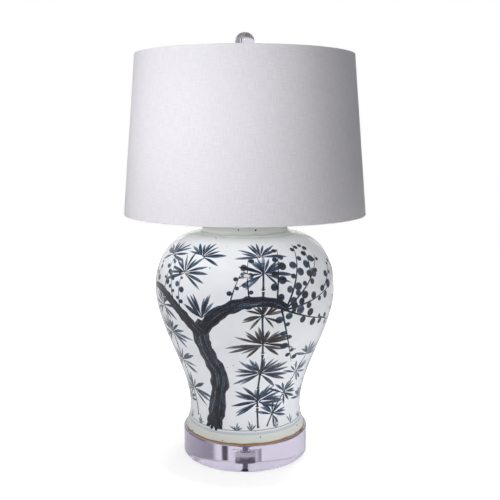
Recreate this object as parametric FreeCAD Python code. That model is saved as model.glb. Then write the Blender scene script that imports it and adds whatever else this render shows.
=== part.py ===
import FreeCAD
import Part
import math
import os

# Ginger jar lamp: a painted porcelain jar on a clear block, with a harp, a linen shade and a ball finial.
# Millimetres. The lamp stands on z = 0 with its axis on Z. The front is -Y, where the switch key points, and
# the cord outlet is at the back.

Vector = FreeCAD.Vector
UP = Vector(0, 0, 1)

# ---- Driving dimensions ------------------------------------------------------------------------------------

# Fits between pieces
TOUCH_GAP = 0.1  # round pieces of one assembly, one inside the other
RUN_GAP = 0.06  # a shaft that turns in its hole, on the radius
FREE_GAP = 0.35  # a loose hole round a piece that moves, on the radius

# Clear block under the jar, with its pads
PAD_COUNT = 4
PAD_R = 6.35
PAD_T = 2.0
PAD_INSET = 12.0  # from the block's side to a pad's centre
BLOCK_REVEAL = 3.45  # how far the block stands out beyond the jar's foot
BLOCK_H = 44.45
BLOCK_CHAMFER = 0.8
POCKET_R = 19.0  # the pocket under the block, for the nut
POCKET_CLEAR = 2.0  # from the rod's lower end to the underside of the block

# Rod, and what clamps the lamp together on it
ROD_R = 4.95
ROD_BORE_R = 3.4
ROD_TAIL = 1.5  # thread showing past a nut
WASHER_R = 15.0
WASHER_T = 1.6
LOCK_WASHER_R = 8.6
LOCK_WASHER_T = 1.6
LOCK_WASHER_SPLIT = 1.6
NUT_FLATS = 19.0
NUT_T = 5.0
LEAD_HOLE_R = 2.4  # where the lead leaves the rod, inside the jar

# Gasket between the block and the jar's foot
GASKET_T = 0.55
GASKET_INSET = 1.5  # from the foot ring's edges

# Porcelain jar: a flared foot, a waist, a flank that swells to the belly, a round shoulder and a neck
JAR_FOOT_R = 104.5
JAR_WAIST_R = 96.2
JAR_BELLY_R = 153.6
JAR_COLLAR_R = 79.0  # where the neck meets the shoulder
JAR_NECK_R = 72.0
JAR_FLARE_H = 38.0
JAR_FLANK_H = 212.0
JAR_SHOULDER_H = 91.0
JAR_NECK_H = 26.0
JAR_COLLAR_H = 10.0  # height of the neck's concave flare
JAR_WALL = 7.0
JAR_FLOOR_T = 10.0
JAR_FLOOR_FILLET = 8.0
JAR_FOOT_EDGE = 1.2
JAR_FOOT_RECESS = 3.0
JAR_FOOT_RING_W = 13.0
JAR_FLOOR_HOLE_R = 7.0

# Cord outlet low on the jar's back
OUTLET_H = 27.0  # its axis above the jar's foot
OUTLET_BORE_R = 3.4
OUTLET_BARREL_R = 5.0
OUTLET_FLANGE_R = 8.0
OUTLET_FLANGE_T = 2.2
OUTLET_TAIL = 2.0  # inside the jar

# Brass cap on the jar's neck, with its nut and the riser
CAP_SETBACK = 2.0  # from the neck's side to the cap's edge
CAP_T = 1.2
CAP_RISE = 9.0
CAP_SKIRT_H = 6.0  # the ring that centres the cap in the neck
CAP_BOSS_R = 18.0
CAP_NUT_FLATS = 17.5
CAP_NUT_T = 5.0
RISER_R = 7.2
RISER_H = 11.0

# Harp, its saddle and the two locking sleeves
SADDLE_T = 1.5
SADDLE_CENTRE_HALF = 9.0
SADDLE_TAB_HALF = 2.3
SADDLE_TAB_H = 13.0
HARP_WIRE_R = 2.0
HARP_LEG_X = 33.0
HARP_REACH = 57.0  # of the wire's axis at its widest
HARP_H = 228.6  # from the saddle's underside to the crown's top
HARP_LEG_CLEAR = 3.5  # from the saddle to the wire's end
HARP_LEG_H = 28.0  # straight part of a leg
HARP_BOW_H = 70.0  # from the straight part to the widest place
HARP_TOP_BEND_R = 44.0
HARP_CROWN_R = 8.0
HARP_CROWN_T = 3.2
SLEEVE_H = 13.0
SLEEVE_WALL = 1.1

# Swivel stud in the harp's crown
STUD_R = 3.1
STUD_THREAD_H = 13.5
STUD_SHANK_R = 2.4
STUD_SHOULDER_R = 8.4
STUD_SHOULDER_T = 1.6
STUD_RIVET_R = 4.0
STUD_RIVET_T = 1.6

# Lamp socket, sized outwards from the bulb's base
SOCKET_CAP_H = 19.0
SOCKET_CAP_WALL = 0.7
SOCKET_HUB_R = 7.4
SOCKET_HUB_H = 6.0
SHELL_H = 46.0
SHELL_WALL = 0.6
SHELL_LAP = 4.0  # shell inside the cap
LINING_T = 0.5
LINING_GAP = 1.25  # from the screw shell to the lining
LINING_SETBACK = 2.5  # from the shell's ends
CORE_H = 18.0
CORE_FLAT = 11.0  # from the axis to the flats that carry the terminal screws
CORE_GAP = 0.3
SCREW_SHELL_H = 21.0
SCREW_SHELL_WALL = 0.5
CONTACT_R = 3.2
CONTACT_H = 3.0
TERMINAL_HEAD_R = 2.8
TERMINAL_HEAD_T = 1.8
TERMINAL_SHANK_R = 1.5
TERMINAL_SHANK_L = 4.0

# Turn switch
SWITCH_SHAFT_R = 2.0
SWITCH_SHAFT_IN = 8.0  # depth in the core
SWITCH_SHAFT_OUT = 11.0  # beyond the shell
KEY_R = 4.8
KEY_L = 12.0
KEY_LAP = 7.0  # of the shaft in the key
KEY_FLUTES = 12
KEY_FLUTE_R = 0.9

# Bulb
BULB_R = 30.0
BULB_LENGTH = 105.0
BULB_GLASS_T = 0.8
BULB_BASE_R = 13.1
BULB_BASE_H = 21.0
BULB_BASE_WALL = 0.5
BULB_INSULATOR_H = 4.5
BULB_TIP_R = 4.0
BULB_TIP_H = 1.8
BULB_NECK_H = 27.0  # from the tip to where the glass starts to widen
BULB_TURN_IN = math.radians(30)  # below the globe's widest place, where it leaves the sphere

# Shade
SHADE_BOTTOM_R = 203.2
SHADE_TOP_R = 180.4
SHADE_H = 259.5
SHADE_DROP = 9.2  # from the shade's top edge down to the spider washer's underside
COVER_T = 0.6
LINER_T = 0.6
RING_WIRE_R = 1.6
BINDING_T = 0.45
ARM_COUNT = 3
ARM_WIRE_R = 1.5
ARM_FLAT = 10.0  # level part of an arm beside the washer
SPIDER_WASHER_EDGE = 1.1  # how far the washer stands out beyond the stud's shoulder
SPIDER_WASHER_T = 1.6

# Finial
BALL_R = 16.2
FINIAL_NECK_H = 13.3  # from the spider washer to the ball
FINIAL_FOOT_R = 7.5
FINIAL_FOOT_T = 2.4
FINIAL_NECK_R = 4.9
FINIAL_CUP_R = 6.8
FINIAL_CUP_H = 3.2
FINIAL_CUP_DEPTH = 1.3  # how deep the ball sits in the cup

# ---- Levels, from the table up -----------------------------------------------------------------------------

BLOCK_Z = PAD_T
BLOCK_R = JAR_FOOT_R + BLOCK_REVEAL
GASKET_Z = BLOCK_Z + BLOCK_H
JAR_Z = GASKET_Z + GASKET_T
JAR_WAIST_Z = JAR_Z + JAR_FLARE_H
JAR_BELLY_Z = JAR_WAIST_Z + JAR_FLANK_H
JAR_COLLAR_Z = JAR_BELLY_Z + JAR_SHOULDER_H
JAR_TOP_Z = JAR_COLLAR_Z + JAR_NECK_H
CAP_TOP_Z = JAR_TOP_Z + CAP_RISE + CAP_T
RISER_Z = CAP_TOP_Z + CAP_NUT_T
SADDLE_Z = RISER_Z + RISER_H
SOCKET_Z = SADDLE_Z + SADDLE_T
CROWN_Z = SADDLE_Z + HARP_H
STUD_Z = CROWN_Z + STUD_SHOULDER_T
SHADE_TOP_Z = STUD_Z + SHADE_DROP
SHADE_BOTTOM_Z = SHADE_TOP_Z - SHADE_H
FINIAL_Z = STUD_Z + SPIDER_WASHER_T
BALL_Z = FINIAL_Z + FINIAL_NECK_H + BALL_R
OUTLET_Z = JAR_Z + OUTLET_H

# The rod runs from the pocket in the block up into the socket's hub.
POCKET_H = POCKET_CLEAR + ROD_TAIL + NUT_T + LOCK_WASHER_T + WASHER_T
NUT_Z = BLOCK_Z + POCKET_CLEAR + ROD_TAIL
LOCK_WASHER_Z = NUT_Z + NUT_T
WASHER_Z = LOCK_WASHER_Z + LOCK_WASHER_T
ROD_Z = BLOCK_Z + POCKET_CLEAR
ROD_TOP_Z = SOCKET_Z + SOCKET_HUB_H
ROD_HOLE_R = ROD_R + TOUCH_GAP

# The harp's wire stands against a tab of the saddle, and the sleeve goes round both.
TAB_OUTER_X = HARP_LEG_X - HARP_WIRE_R - TOUCH_GAP
TAB_INNER_X = TAB_OUTER_X - SADDLE_T
SLEEVE_HALF_SPAN = (HARP_LEG_X + HARP_WIRE_R - TAB_INNER_X) / 2
SLEEVE_X = TAB_INNER_X + SLEEVE_HALF_SPAN
SLEEVE_BORE_R = math.hypot(SLEEVE_HALF_SPAN, SADDLE_TAB_HALF) + FREE_GAP
HARP_AXIS_Z = CROWN_Z - HARP_CROWN_T / 2  # of the wire where it enters the crown
SPIDER_WASHER_R = STUD_SHOULDER_R + SPIDER_WASHER_EDGE

# The socket's pieces stand one inside the other.
SCREW_SHELL_R = BULB_BASE_R + FREE_GAP + SCREW_SHELL_WALL
LINING_R = SCREW_SHELL_R + LINING_GAP + LINING_T
CORE_R = LINING_R - LINING_T - CORE_GAP
SHELL_R = LINING_R + TOUCH_GAP + SHELL_WALL
SOCKET_CAP_R = SHELL_R + TOUCH_GAP + SOCKET_CAP_WALL
SHELL_Z = SOCKET_Z + SOCKET_CAP_H - SHELL_LAP
CORE_Z = SHELL_Z + LINING_SETBACK
SCREW_SHELL_Z = CORE_Z + CORE_H
SWITCH_Z = CORE_Z + CORE_H / 2
SWITCH_HOLE_R = SWITCH_SHAFT_R + 3 * FREE_GAP
BULB_Z = SCREW_SHELL_Z + CONTACT_H

# ---- Helpers -----------------------------------------------------------------------------------------------


class Outline:
    """A closed outline in the plane of radius and height, drawn from point to point."""

    def __init__(self, r, z):
        self.start = self.at = Vector(r, 0, z)
        self.edges = []

    def line(self, r, z):
        end = Vector(r, 0, z)
        self.edges.append(Part.LineSegment(self.at, end).toShape())
        self.at = end
        return self

    def arc(self, middle, end):
        """A circular arc through middle to end, each a radius and a height."""
        middle, end = (Vector(r, 0, z) for r, z in (middle, end))
        self.edges.append(Part.Arc(self.at, middle, end).toShape())
        self.at = end
        return self

    def curve(self, *poles):
        """A Bezier curve from the current point, with the other poles given."""
        poles = [self.at] + [Vector(r, 0, z) for r, z in poles]
        bezier = Part.BezierCurve()
        bezier.setPoles(poles)
        self.edges.append(bezier.toShape())
        self.at = poles[-1]
        return self

    def turned(self):
        """The solid that the outline sweeps round the lamp's axis."""
        if self.at.distanceToPoint(self.start) > 1e-6:
            self.line(self.start.x, self.start.z)
        return Part.Face(Part.Wire(self.edges)).revolve(Vector(0, 0, 0), UP, 360)


def disc(radius, z, height):
    return Part.makeCylinder(radius, height, Vector(0, 0, z))


def ring(outer, inner, z, height):
    return disc(outer, z, height).cut(disc(inner, z, height))


def rod_between(start, end, radius):
    """A straight round bar from one point to another."""
    along = end - start
    return Part.makeCylinder(radius, along.Length, start, along)


def hex_nut(flats, bore, z, height):
    corner_r = flats / math.sqrt(3)
    corners = [Vector(corner_r, 0, z)]
    corners += [
        Vector(corner_r * math.cos(k * math.pi / 3), corner_r * math.sin(k * math.pi / 3), z)
        for k in range(1, 6)
    ]
    face = Part.Face(Part.makePolygon(corners + corners[:1]))
    chamfer = disc(corner_r, z, height)
    chamfer = chamfer.makeChamfer((corner_r - flats / 2) * 0.6, [e for e in chamfer.Edges if e.Closed])
    return face.extrude(Vector(0, 0, height)).common(chamfer).cut(disc(bore, z, height))


def around(shape, count, first_deg):
    """Copies of a shape, evenly spaced round the lamp's axis."""
    copies = []
    for k in range(count):
        copy = shape.copy()
        copy.rotate(Vector(0, 0, 0), UP, first_deg + 360 * k / count)
        copies.append(copy)
    return copies


# ---- Block, pads and clamping pieces -----------------------------------------------------------------------


def bumper_pads():
    """Pads under the block, one of them at the front."""
    pad = Part.makeCylinder(PAD_R, PAD_T, Vector(BLOCK_R - PAD_INSET, 0, 0))
    return Part.makeCompound(around(pad, PAD_COUNT, -90))


def acrylic_block():
    block = disc(BLOCK_R, BLOCK_Z, BLOCK_H)
    block = block.makeChamfer(BLOCK_CHAMFER, [e for e in block.Edges if e.Closed])
    pocket = disc(POCKET_R, BLOCK_Z, POCKET_H)
    return block.cut(pocket).cut(disc(ROD_HOLE_R, BLOCK_Z, BLOCK_H))


def lock_washer():
    """A spring washer, split at one place."""
    split = Part.makeBox(LOCK_WASHER_R, LOCK_WASHER_SPLIT, LOCK_WASHER_T)
    split.translate(Vector(0, -LOCK_WASHER_SPLIT / 2, LOCK_WASHER_Z))
    return ring(LOCK_WASHER_R, ROD_HOLE_R, LOCK_WASHER_Z, LOCK_WASHER_T).cut(split)


def threaded_rod():
    """The hollow rod that holds the lamp together, with a hole towards the cord outlet."""
    tube = ring(ROD_R, ROD_BORE_R, ROD_Z, ROD_TOP_Z - ROD_Z)
    return tube.cut(back_bore(LEAD_HOLE_R, 0, 2 * ROD_R))


def foot_gasket():
    outer = JAR_FOOT_R - JAR_FOOT_EDGE - GASKET_INSET
    inner = JAR_FOOT_R - JAR_FOOT_RING_W + GASKET_INSET
    return ring(outer, inner, GASKET_Z, GASKET_T)


# ---- Jar ---------------------------------------------------------------------------------------------------

CIRCLE_HANDLE = 4 / 3 * (math.sqrt(2) - 1)  # a Bezier's handle for a quarter of a circle or an ellipse


def outer_flare(outline):
    """From the foot in to the waist, where the side is upright."""
    handle_z = JAR_Z + 0.58 * JAR_FLARE_H
    return outline.curve((JAR_WAIST_R, handle_z), (JAR_WAIST_R, JAR_WAIST_Z))


def flank(outline, inset):
    """From the waist out to the belly, upright at both ends."""
    waist, belly = JAR_WAIST_R - inset, JAR_BELLY_R - inset
    third = JAR_FLANK_H / 3
    return outline.curve((waist, JAR_WAIST_Z + third), (belly, JAR_BELLY_Z - third), (belly, JAR_BELLY_Z))


def shoulder(outline, inset):
    """A quarter of an ellipse from the belly up and in to the collar."""
    belly, top = JAR_BELLY_R - inset, JAR_COLLAR_Z - inset
    reach, rise = belly - JAR_COLLAR_R, top - JAR_BELLY_Z
    return outline.curve(
        (belly, JAR_BELLY_Z + CIRCLE_HANDLE * rise),
        (JAR_COLLAR_R + CIRCLE_HANDLE * reach, top),
        (JAR_COLLAR_R, top),
    )


def neck(outline):
    """The outside of the neck: a concave flare at the collar, then straight up to the lip."""
    flare_top = JAR_COLLAR_Z + JAR_COLLAR_H
    outline.curve((JAR_NECK_R, JAR_COLLAR_Z + JAR_COLLAR_H / 6), (JAR_NECK_R, flare_top))
    return outline.line(JAR_NECK_R, JAR_TOP_Z - JAR_WALL / 2)


def jar_inside():
    """The hollow of the jar, from the floor's top to its rim, open upwards."""
    floor_z = JAR_Z + JAR_FOOT_RECESS + JAR_FLOOR_T
    waist, bore = JAR_WAIST_R - JAR_WALL, JAR_NECK_R - JAR_WALL
    bend = JAR_FLOOR_FILLET * (1 - math.sqrt(0.5))
    inside = Outline(0, floor_z)
    inside.line(waist - JAR_FLOOR_FILLET, floor_z)
    inside.arc((waist - bend, floor_z + bend), (waist, floor_z + JAR_FLOOR_FILLET))
    inside.line(waist, JAR_WAIST_Z)
    flank(inside, JAR_WALL)
    shoulder(inside, JAR_WALL)
    inside.curve((bore, JAR_COLLAR_Z - JAR_WALL), (bore, JAR_COLLAR_Z + JAR_COLLAR_H / 2))
    inside.line(bore, JAR_TOP_Z)
    inside.line(0, JAR_TOP_Z)
    return inside.turned()


def jar_outside():
    body = Outline(0, JAR_Z)
    body.line(JAR_FOOT_R - JAR_FOOT_EDGE, JAR_Z)
    body.line(JAR_FOOT_R, JAR_Z + JAR_FOOT_EDGE)
    outer_flare(body)
    flank(body, 0)
    shoulder(body, 0)
    neck(body)
    body.arc(
        (JAR_NECK_R - JAR_WALL / 2, JAR_TOP_Z),
        (JAR_NECK_R - JAR_WALL, JAR_TOP_Z - JAR_WALL / 2),
    )
    body.line(0, JAR_TOP_Z - JAR_WALL / 2)
    return body.turned()


def back_bore(radius, near_y, far_y):
    """A round bar along the cord outlet's axis, between two distances behind the lamp's axis."""
    return rod_between(Vector(0, near_y, OUTLET_Z), Vector(0, far_y, OUTLET_Z), radius)


def porcelain_jar():
    recess = disc(JAR_FOOT_R - JAR_FOOT_RING_W, JAR_Z, JAR_FOOT_RECESS)
    floor_hole = disc(JAR_FLOOR_HOLE_R, JAR_Z, JAR_FOOT_RECESS + JAR_FLOOR_T)
    outlet = back_bore(OUTLET_BARREL_R + TOUCH_GAP, 0, JAR_BELLY_R)
    return jar_outside().cut(jar_inside()).cut(recess).cut(floor_hole).cut(outlet)


def outlet_bushing():
    """A soft bushing for the cord: a barrel through the wall, and a flange that follows the jar's side."""
    inner_y = JAR_WAIST_R - JAR_WALL - OUTLET_TAIL
    outer_y = (JAR_WAIST_R + JAR_FOOT_R) / 2 + OUTLET_FLANGE_T
    barrel = back_bore(OUTLET_BARREL_R, inner_y, outer_y)
    flange = back_bore(OUTLET_FLANGE_R, JAR_WAIST_R - JAR_WALL / 2, outer_y).cut(jar_outside())
    return barrel.fuse(flange).removeSplitter().cut(back_bore(OUTLET_BORE_R, 0, JAR_BELLY_R))


# ---- Cap, nut and riser on the neck ------------------------------------------------------------------------


def neck_cap():
    """A spun brass cap that rests on the jar's lip and swells to a flat boss."""
    edge, skirt = JAR_NECK_R - CAP_SETBACK, JAR_NECK_R - JAR_WALL - TOUCH_GAP
    foot = skirt - 3 * CAP_T
    low, high = JAR_TOP_Z, CAP_TOP_Z
    span = (foot - CAP_BOSS_R) / 3
    cap = Outline(ROD_HOLE_R, high)
    cap.line(CAP_BOSS_R, high)
    cap.curve((CAP_BOSS_R + span, high), (foot - span, low + CAP_T), (foot, low + CAP_T))
    cap.line(edge, low + CAP_T)
    cap.line(edge, low)
    cap.line(skirt, low)
    cap.line(skirt, low - CAP_SKIRT_H)
    cap.line(skirt - CAP_T, low - CAP_SKIRT_H)
    cap.line(skirt - CAP_T, low)
    cap.line(foot, low)
    cap.curve((foot - span, low), (CAP_BOSS_R + span, high - CAP_T), (CAP_BOSS_R, high - CAP_T))
    cap.line(ROD_HOLE_R, high - CAP_T)
    return cap.turned()


# ---- Harp --------------------------------------------------------------------------------------------------


def harp_saddle():
    """A strap under the socket with an upturned tab at each end."""
    end_x = SLEEVE_X + SLEEVE_HALF_SPAN
    half, tab = SADDLE_CENTRE_HALF, SADDLE_TAB_HALF
    quarter = [(end_x, tab), (TAB_INNER_X, tab), (half, half)]
    outline = quarter + [(-x, y) for x, y in reversed(quarter)]
    outline += [(-x, -y) for x, y in quarter] + [(x, -y) for x, y in reversed(quarter)]
    corners = [Vector(x, y, SADDLE_Z) for x, y in outline]
    saddle = Part.Face(Part.makePolygon(corners + corners[:1])).extrude(Vector(0, 0, SADDLE_T))
    for x in (TAB_INNER_X, -TAB_OUTER_X):
        tab_up = Part.makeBox(SADDLE_T, 2 * tab, SADDLE_T + SADDLE_TAB_H, Vector(x, -tab, SADDLE_Z))
        saddle = saddle.fuse(tab_up)
    return saddle.removeSplitter().cut(disc(ROD_HOLE_R, SADDLE_Z, SADDLE_T))


def harp_leg():
    """One side of the harp: straight beside its tab, bowed out round the bulb, then in to the crown."""
    low_z = SOCKET_Z + HARP_LEG_CLEAR
    bow_z = low_z + HARP_LEG_H
    wide_z = bow_z + HARP_BOW_H
    top_r = HARP_TOP_BEND_R
    side = HARP_REACH - HARP_LEG_X
    bend_r = (side**2 + HARP_BOW_H**2) / (4 * side)
    half_turn = math.atan(side / HARP_BOW_H)
    dip = bend_r * (1 - math.cos(half_turn))
    run = bend_r * math.sin(half_turn)

    def at(x, z):
        return Vector(x, 0, z)

    middle = at(HARP_LEG_X + side / 2, bow_z + HARP_BOW_H / 2)
    top = at(HARP_REACH - top_r, HARP_AXIS_Z)
    round_off = top_r * (1 - math.sqrt(0.5))
    edges = [
        Part.LineSegment(at(HARP_LEG_X, low_z), at(HARP_LEG_X, bow_z)),
        Part.Arc(at(HARP_LEG_X, bow_z), at(HARP_LEG_X + dip, bow_z + run), middle),
        Part.Arc(middle, at(HARP_REACH - dip, wide_z - run), at(HARP_REACH, wide_z)),
        Part.LineSegment(at(HARP_REACH, wide_z), at(HARP_REACH, HARP_AXIS_Z - top_r)),
        Part.Arc(
            at(HARP_REACH, HARP_AXIS_Z - top_r),
            at(HARP_REACH - round_off, HARP_AXIS_Z - round_off),
            top,
        ),
        Part.LineSegment(top, at(0, HARP_AXIS_Z)),
    ]
    path = Part.Wire([e.toShape() for e in edges])
    section = Part.Wire(Part.makeCircle(HARP_WIRE_R, at(HARP_LEG_X, low_z), UP))
    return path.makePipeShell([section], True, False)


def harp():
    leg = harp_leg()
    crown = disc(HARP_CROWN_R, CROWN_Z - HARP_CROWN_T, HARP_CROWN_T)
    whole = crown.fuse([leg, leg.mirror(Vector(0, 0, 0), Vector(1, 0, 0))])
    # The wire is hammered flat in the crown and under the stud's shoulder, so nothing stands proud there.
    flat_r = max(HARP_CROWN_R, STUD_SHOULDER_R) + FREE_GAP
    above = disc(flat_r, CROWN_Z, HARP_WIRE_R)
    below = disc(flat_r, CROWN_Z - HARP_CROWN_T - HARP_WIRE_R, HARP_WIRE_R)
    shank_hole = disc(STUD_SHANK_R + RUN_GAP, CROWN_Z - HARP_CROWN_T, HARP_CROWN_T)
    return whole.cut(above).cut(below).cut(shank_hole)


def sleeve(side):
    """A locking sleeve, resting on the saddle round its tab and the harp's wire."""
    x = side * SLEEVE_X
    outer = Part.makeCylinder(SLEEVE_BORE_R + SLEEVE_WALL, SLEEVE_H, Vector(x, 0, SOCKET_Z))
    return outer.cut(Part.makeCylinder(SLEEVE_BORE_R, SLEEVE_H, Vector(x, 0, SOCKET_Z)))


def harp_stud():
    """The stud riveted in the crown so that it turns, with a shoulder that carries the shade."""
    rivet_z = CROWN_Z - HARP_CROWN_T - STUD_RIVET_T
    stud = Outline(0, rivet_z)
    stud.line(STUD_RIVET_R, rivet_z)
    stud.line(STUD_RIVET_R, rivet_z + STUD_RIVET_T)
    stud.line(STUD_SHANK_R, rivet_z + STUD_RIVET_T)
    stud.line(STUD_SHANK_R, CROWN_Z)
    stud.line(STUD_SHOULDER_R, CROWN_Z)
    stud.line(STUD_SHOULDER_R, STUD_Z)
    stud.line(STUD_R, STUD_Z)
    stud.line(STUD_R, STUD_Z + STUD_THREAD_H - STUD_R / 4)
    stud.line(STUD_R * 3 / 4, STUD_Z + STUD_THREAD_H)
    stud.line(0, STUD_Z + STUD_THREAD_H)
    return stud.turned()


# ---- Socket and switch -------------------------------------------------------------------------------------


def front_bore(radius, near_y, far_y):
    """A round bar along the switch's axis, between two distances in front of the lamp's axis."""
    return rod_between(Vector(0, -near_y, SWITCH_Z), Vector(0, -far_y, SWITCH_Z), radius)


def socket_cap():
    """The bell that screws onto the rod and holds the shell."""
    rim_z = SOCKET_Z + SOCKET_CAP_H
    bell_z = SOCKET_Z + SOCKET_CAP_H * 0.62
    hub_z = SOCKET_Z + SOCKET_HUB_H
    inner_r = SOCKET_CAP_R - SOCKET_CAP_WALL
    low_z = SOCKET_Z + SOCKET_HUB_H / 2
    cap = Outline(ROD_HOLE_R, SOCKET_Z)
    cap.line(SOCKET_HUB_R, SOCKET_Z)
    cap.line(SOCKET_HUB_R, low_z)
    cap.curve((SOCKET_CAP_R, low_z), (SOCKET_CAP_R, bell_z))
    cap.line(SOCKET_CAP_R, rim_z)
    cap.line(inner_r, rim_z)
    cap.line(inner_r, bell_z)
    cap.curve((inner_r, low_z + SOCKET_CAP_WALL), (SOCKET_HUB_R, low_z + SOCKET_CAP_WALL))
    cap.line(SOCKET_HUB_R, hub_z)
    cap.line(ROD_HOLE_R, hub_z)
    return cap.turned()


def socket_shell():
    shell = ring(SHELL_R, SHELL_R - SHELL_WALL, SHELL_Z, SHELL_H)
    return shell.cut(front_bore(SWITCH_HOLE_R, 0, SOCKET_CAP_R))


def socket_lining():
    """The card lining between the shell and the live parts."""
    height = SHELL_H - 2 * LINING_SETBACK
    lining = ring(LINING_R, LINING_R - LINING_T, SHELL_Z + LINING_SETBACK, height)
    return lining.cut(front_bore(SWITCH_HOLE_R, 0, SOCKET_CAP_R))


def socket_core():
    """The moulded core, with flats for the terminal screws and a blind hole for the switch shaft."""
    core = disc(CORE_R, CORE_Z, CORE_H)
    for x in (CORE_FLAT, -CORE_FLAT - CORE_R):
        core = core.cut(Part.makeBox(CORE_R, 2 * CORE_R, CORE_H, Vector(x, -CORE_R, CORE_Z)))
    for screw in terminal_shanks(TOUCH_GAP):
        core = core.cut(screw)
    return core.cut(front_bore(SWITCH_SHAFT_R + RUN_GAP, CORE_R - SWITCH_SHAFT_IN, CORE_R))


def terminal_shanks(gap):
    near = CORE_FLAT - TERMINAL_SHANK_L - gap
    return [
        rod_between(
            Vector(side * CORE_FLAT, 0, SWITCH_Z),
            Vector(side * near, 0, SWITCH_Z),
            TERMINAL_SHANK_R + gap,
        )
        for side in (1, -1)
    ]


def terminal_screws():
    """One screw on each flat, its head outside."""
    screws = []
    for side, shank in zip((1, -1), terminal_shanks(0)):
        start = Vector(side * CORE_FLAT, 0, SWITCH_Z)
        head = rod_between(start, start + Vector(side * TERMINAL_HEAD_T, 0, 0), TERMINAL_HEAD_R)
        screws.append(head.fuse(shank).removeSplitter())
    return Part.makeCompound(screws)


def screw_shell():
    """The cup that the bulb screws into, open in the middle of its floor for the contact."""
    inner = SCREW_SHELL_R - SCREW_SHELL_WALL
    cup = disc(SCREW_SHELL_R, SCREW_SHELL_Z, SCREW_SHELL_H)
    cup = cup.cut(disc(inner, SCREW_SHELL_Z + SCREW_SHELL_WALL, SCREW_SHELL_H))
    return cup.cut(disc(2 * CONTACT_R, SCREW_SHELL_Z, SCREW_SHELL_WALL))


def switch_shaft():
    return front_bore(
        SWITCH_SHAFT_R, CORE_R - SWITCH_SHAFT_IN + RUN_GAP, SOCKET_CAP_R + SWITCH_SHAFT_OUT
    )


def switch_key():
    """A fluted key on the end of the shaft."""
    shaft_end = SOCKET_CAP_R + SWITCH_SHAFT_OUT
    start = shaft_end - KEY_LAP
    key = front_bore(KEY_R, start, start + KEY_L)
    for k in range(KEY_FLUTES):
        turn = 2 * math.pi * k / KEY_FLUTES
        across, up = KEY_R * math.cos(turn), KEY_R * math.sin(turn)
        flute = Part.makeCylinder(
            KEY_FLUTE_R, KEY_L, Vector(across, -start, SWITCH_Z + up), Vector(0, -1, 0)
        )
        key = key.cut(flute)
    return key.cut(front_bore(SWITCH_SHAFT_R + TOUCH_GAP / 2, start, shaft_end))


# ---- Bulb --------------------------------------------------------------------------------------------------

BULB_GLOBE_Z = BULB_Z + BULB_LENGTH - BULB_R
BULB_INSULATOR_Z = BULB_Z + BULB_TIP_H
BULB_BASE_Z = BULB_INSULATOR_Z + BULB_INSULATOR_H


def globe_side(inset):
    """Poles from the glass neck up to the sphere, the point on its widest circle, and its top."""
    radius, neck_r = BULB_R - inset, BULB_BASE_R - BULB_BASE_WALL - TOUCH_GAP - inset
    leave = (radius * math.cos(BULB_TURN_IN), BULB_GLOBE_Z - radius * math.sin(BULB_TURN_IN))
    handle = radius / 2
    before = (
        leave[0] - handle * math.sin(BULB_TURN_IN),
        leave[1] - handle * math.cos(BULB_TURN_IN),
    )
    neck_z = BULB_Z + BULB_NECK_H
    return [(neck_r, neck_z + radius / 3), before, leave], (radius, BULB_GLOBE_Z), (0, BULB_GLOBE_Z + radius)


def bulb_glass():
    neck_r = BULB_BASE_R - BULB_BASE_WALL - TOUCH_GAP
    glass = Outline(neck_r, BULB_BASE_Z + BULB_BASE_WALL)
    side, widest, top = globe_side(0)
    glass.line(neck_r, BULB_Z + BULB_NECK_H)
    glass.curve(*side)
    glass.arc(widest, top)
    side, widest, top = globe_side(BULB_GLASS_T)
    glass.line(*top)
    glass.arc(widest, side[-1])
    glass.curve(side[1], side[0], (neck_r - BULB_GLASS_T, BULB_Z + BULB_NECK_H))
    glass.line(neck_r - BULB_GLASS_T, BULB_BASE_Z + BULB_BASE_WALL)
    return glass.turned()


def bulb_base():
    """The metal screw base, a cup open upwards with a hole for the insulator's plug."""
    inner = BULB_BASE_R - BULB_BASE_WALL
    cup = disc(BULB_BASE_R, BULB_BASE_Z, BULB_BASE_H)
    return cup.cut(disc(inner, BULB_BASE_Z + BULB_BASE_WALL, BULB_BASE_H))


def bulb_insulator():
    return Part.makeCone(
        BULB_TIP_R, BULB_BASE_R - BULB_BASE_WALL, BULB_INSULATOR_H, Vector(0, 0, BULB_INSULATOR_Z)
    )


# ---- Shade -------------------------------------------------------------------------------------------------


def shade_side_r(z):
    """Outer radius of the shade at a height."""
    up = (z - SHADE_BOTTOM_Z) / SHADE_H
    return SHADE_BOTTOM_R + up * (SHADE_TOP_R - SHADE_BOTTOM_R)


def cone_skin(inset, thickness):
    """A skin of the shade, its outer face that far inside the shade's outer face."""
    skin = Outline(SHADE_BOTTOM_R - inset, SHADE_BOTTOM_Z)
    skin.line(SHADE_TOP_R - inset, SHADE_TOP_Z)
    skin.line(SHADE_TOP_R - inset - thickness, SHADE_TOP_Z)
    skin.line(SHADE_BOTTOM_R - inset - thickness, SHADE_BOTTOM_Z)
    return skin.turned()


SKINS_T = COVER_T + TOUCH_GAP + LINER_T
TOP_RING_Z = SHADE_TOP_Z - RING_WIRE_R - TOUCH_GAP - BINDING_T
BOTTOM_RING_Z = SHADE_BOTTOM_Z + RING_WIRE_R + TOUCH_GAP + BINDING_T


def ring_r(z):
    """Radius of a ring's wire axis: against the liner at the narrower end of the wire."""
    tight_z = z + math.copysign(RING_WIRE_R, SHADE_BOTTOM_R - SHADE_TOP_R)
    return shade_side_r(tight_z) - SKINS_T - 2 * TOUCH_GAP - RING_WIRE_R


def wire_ring(z):
    return Part.makeTorus(ring_r(z), RING_WIRE_R, Vector(0, 0, z))


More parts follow.
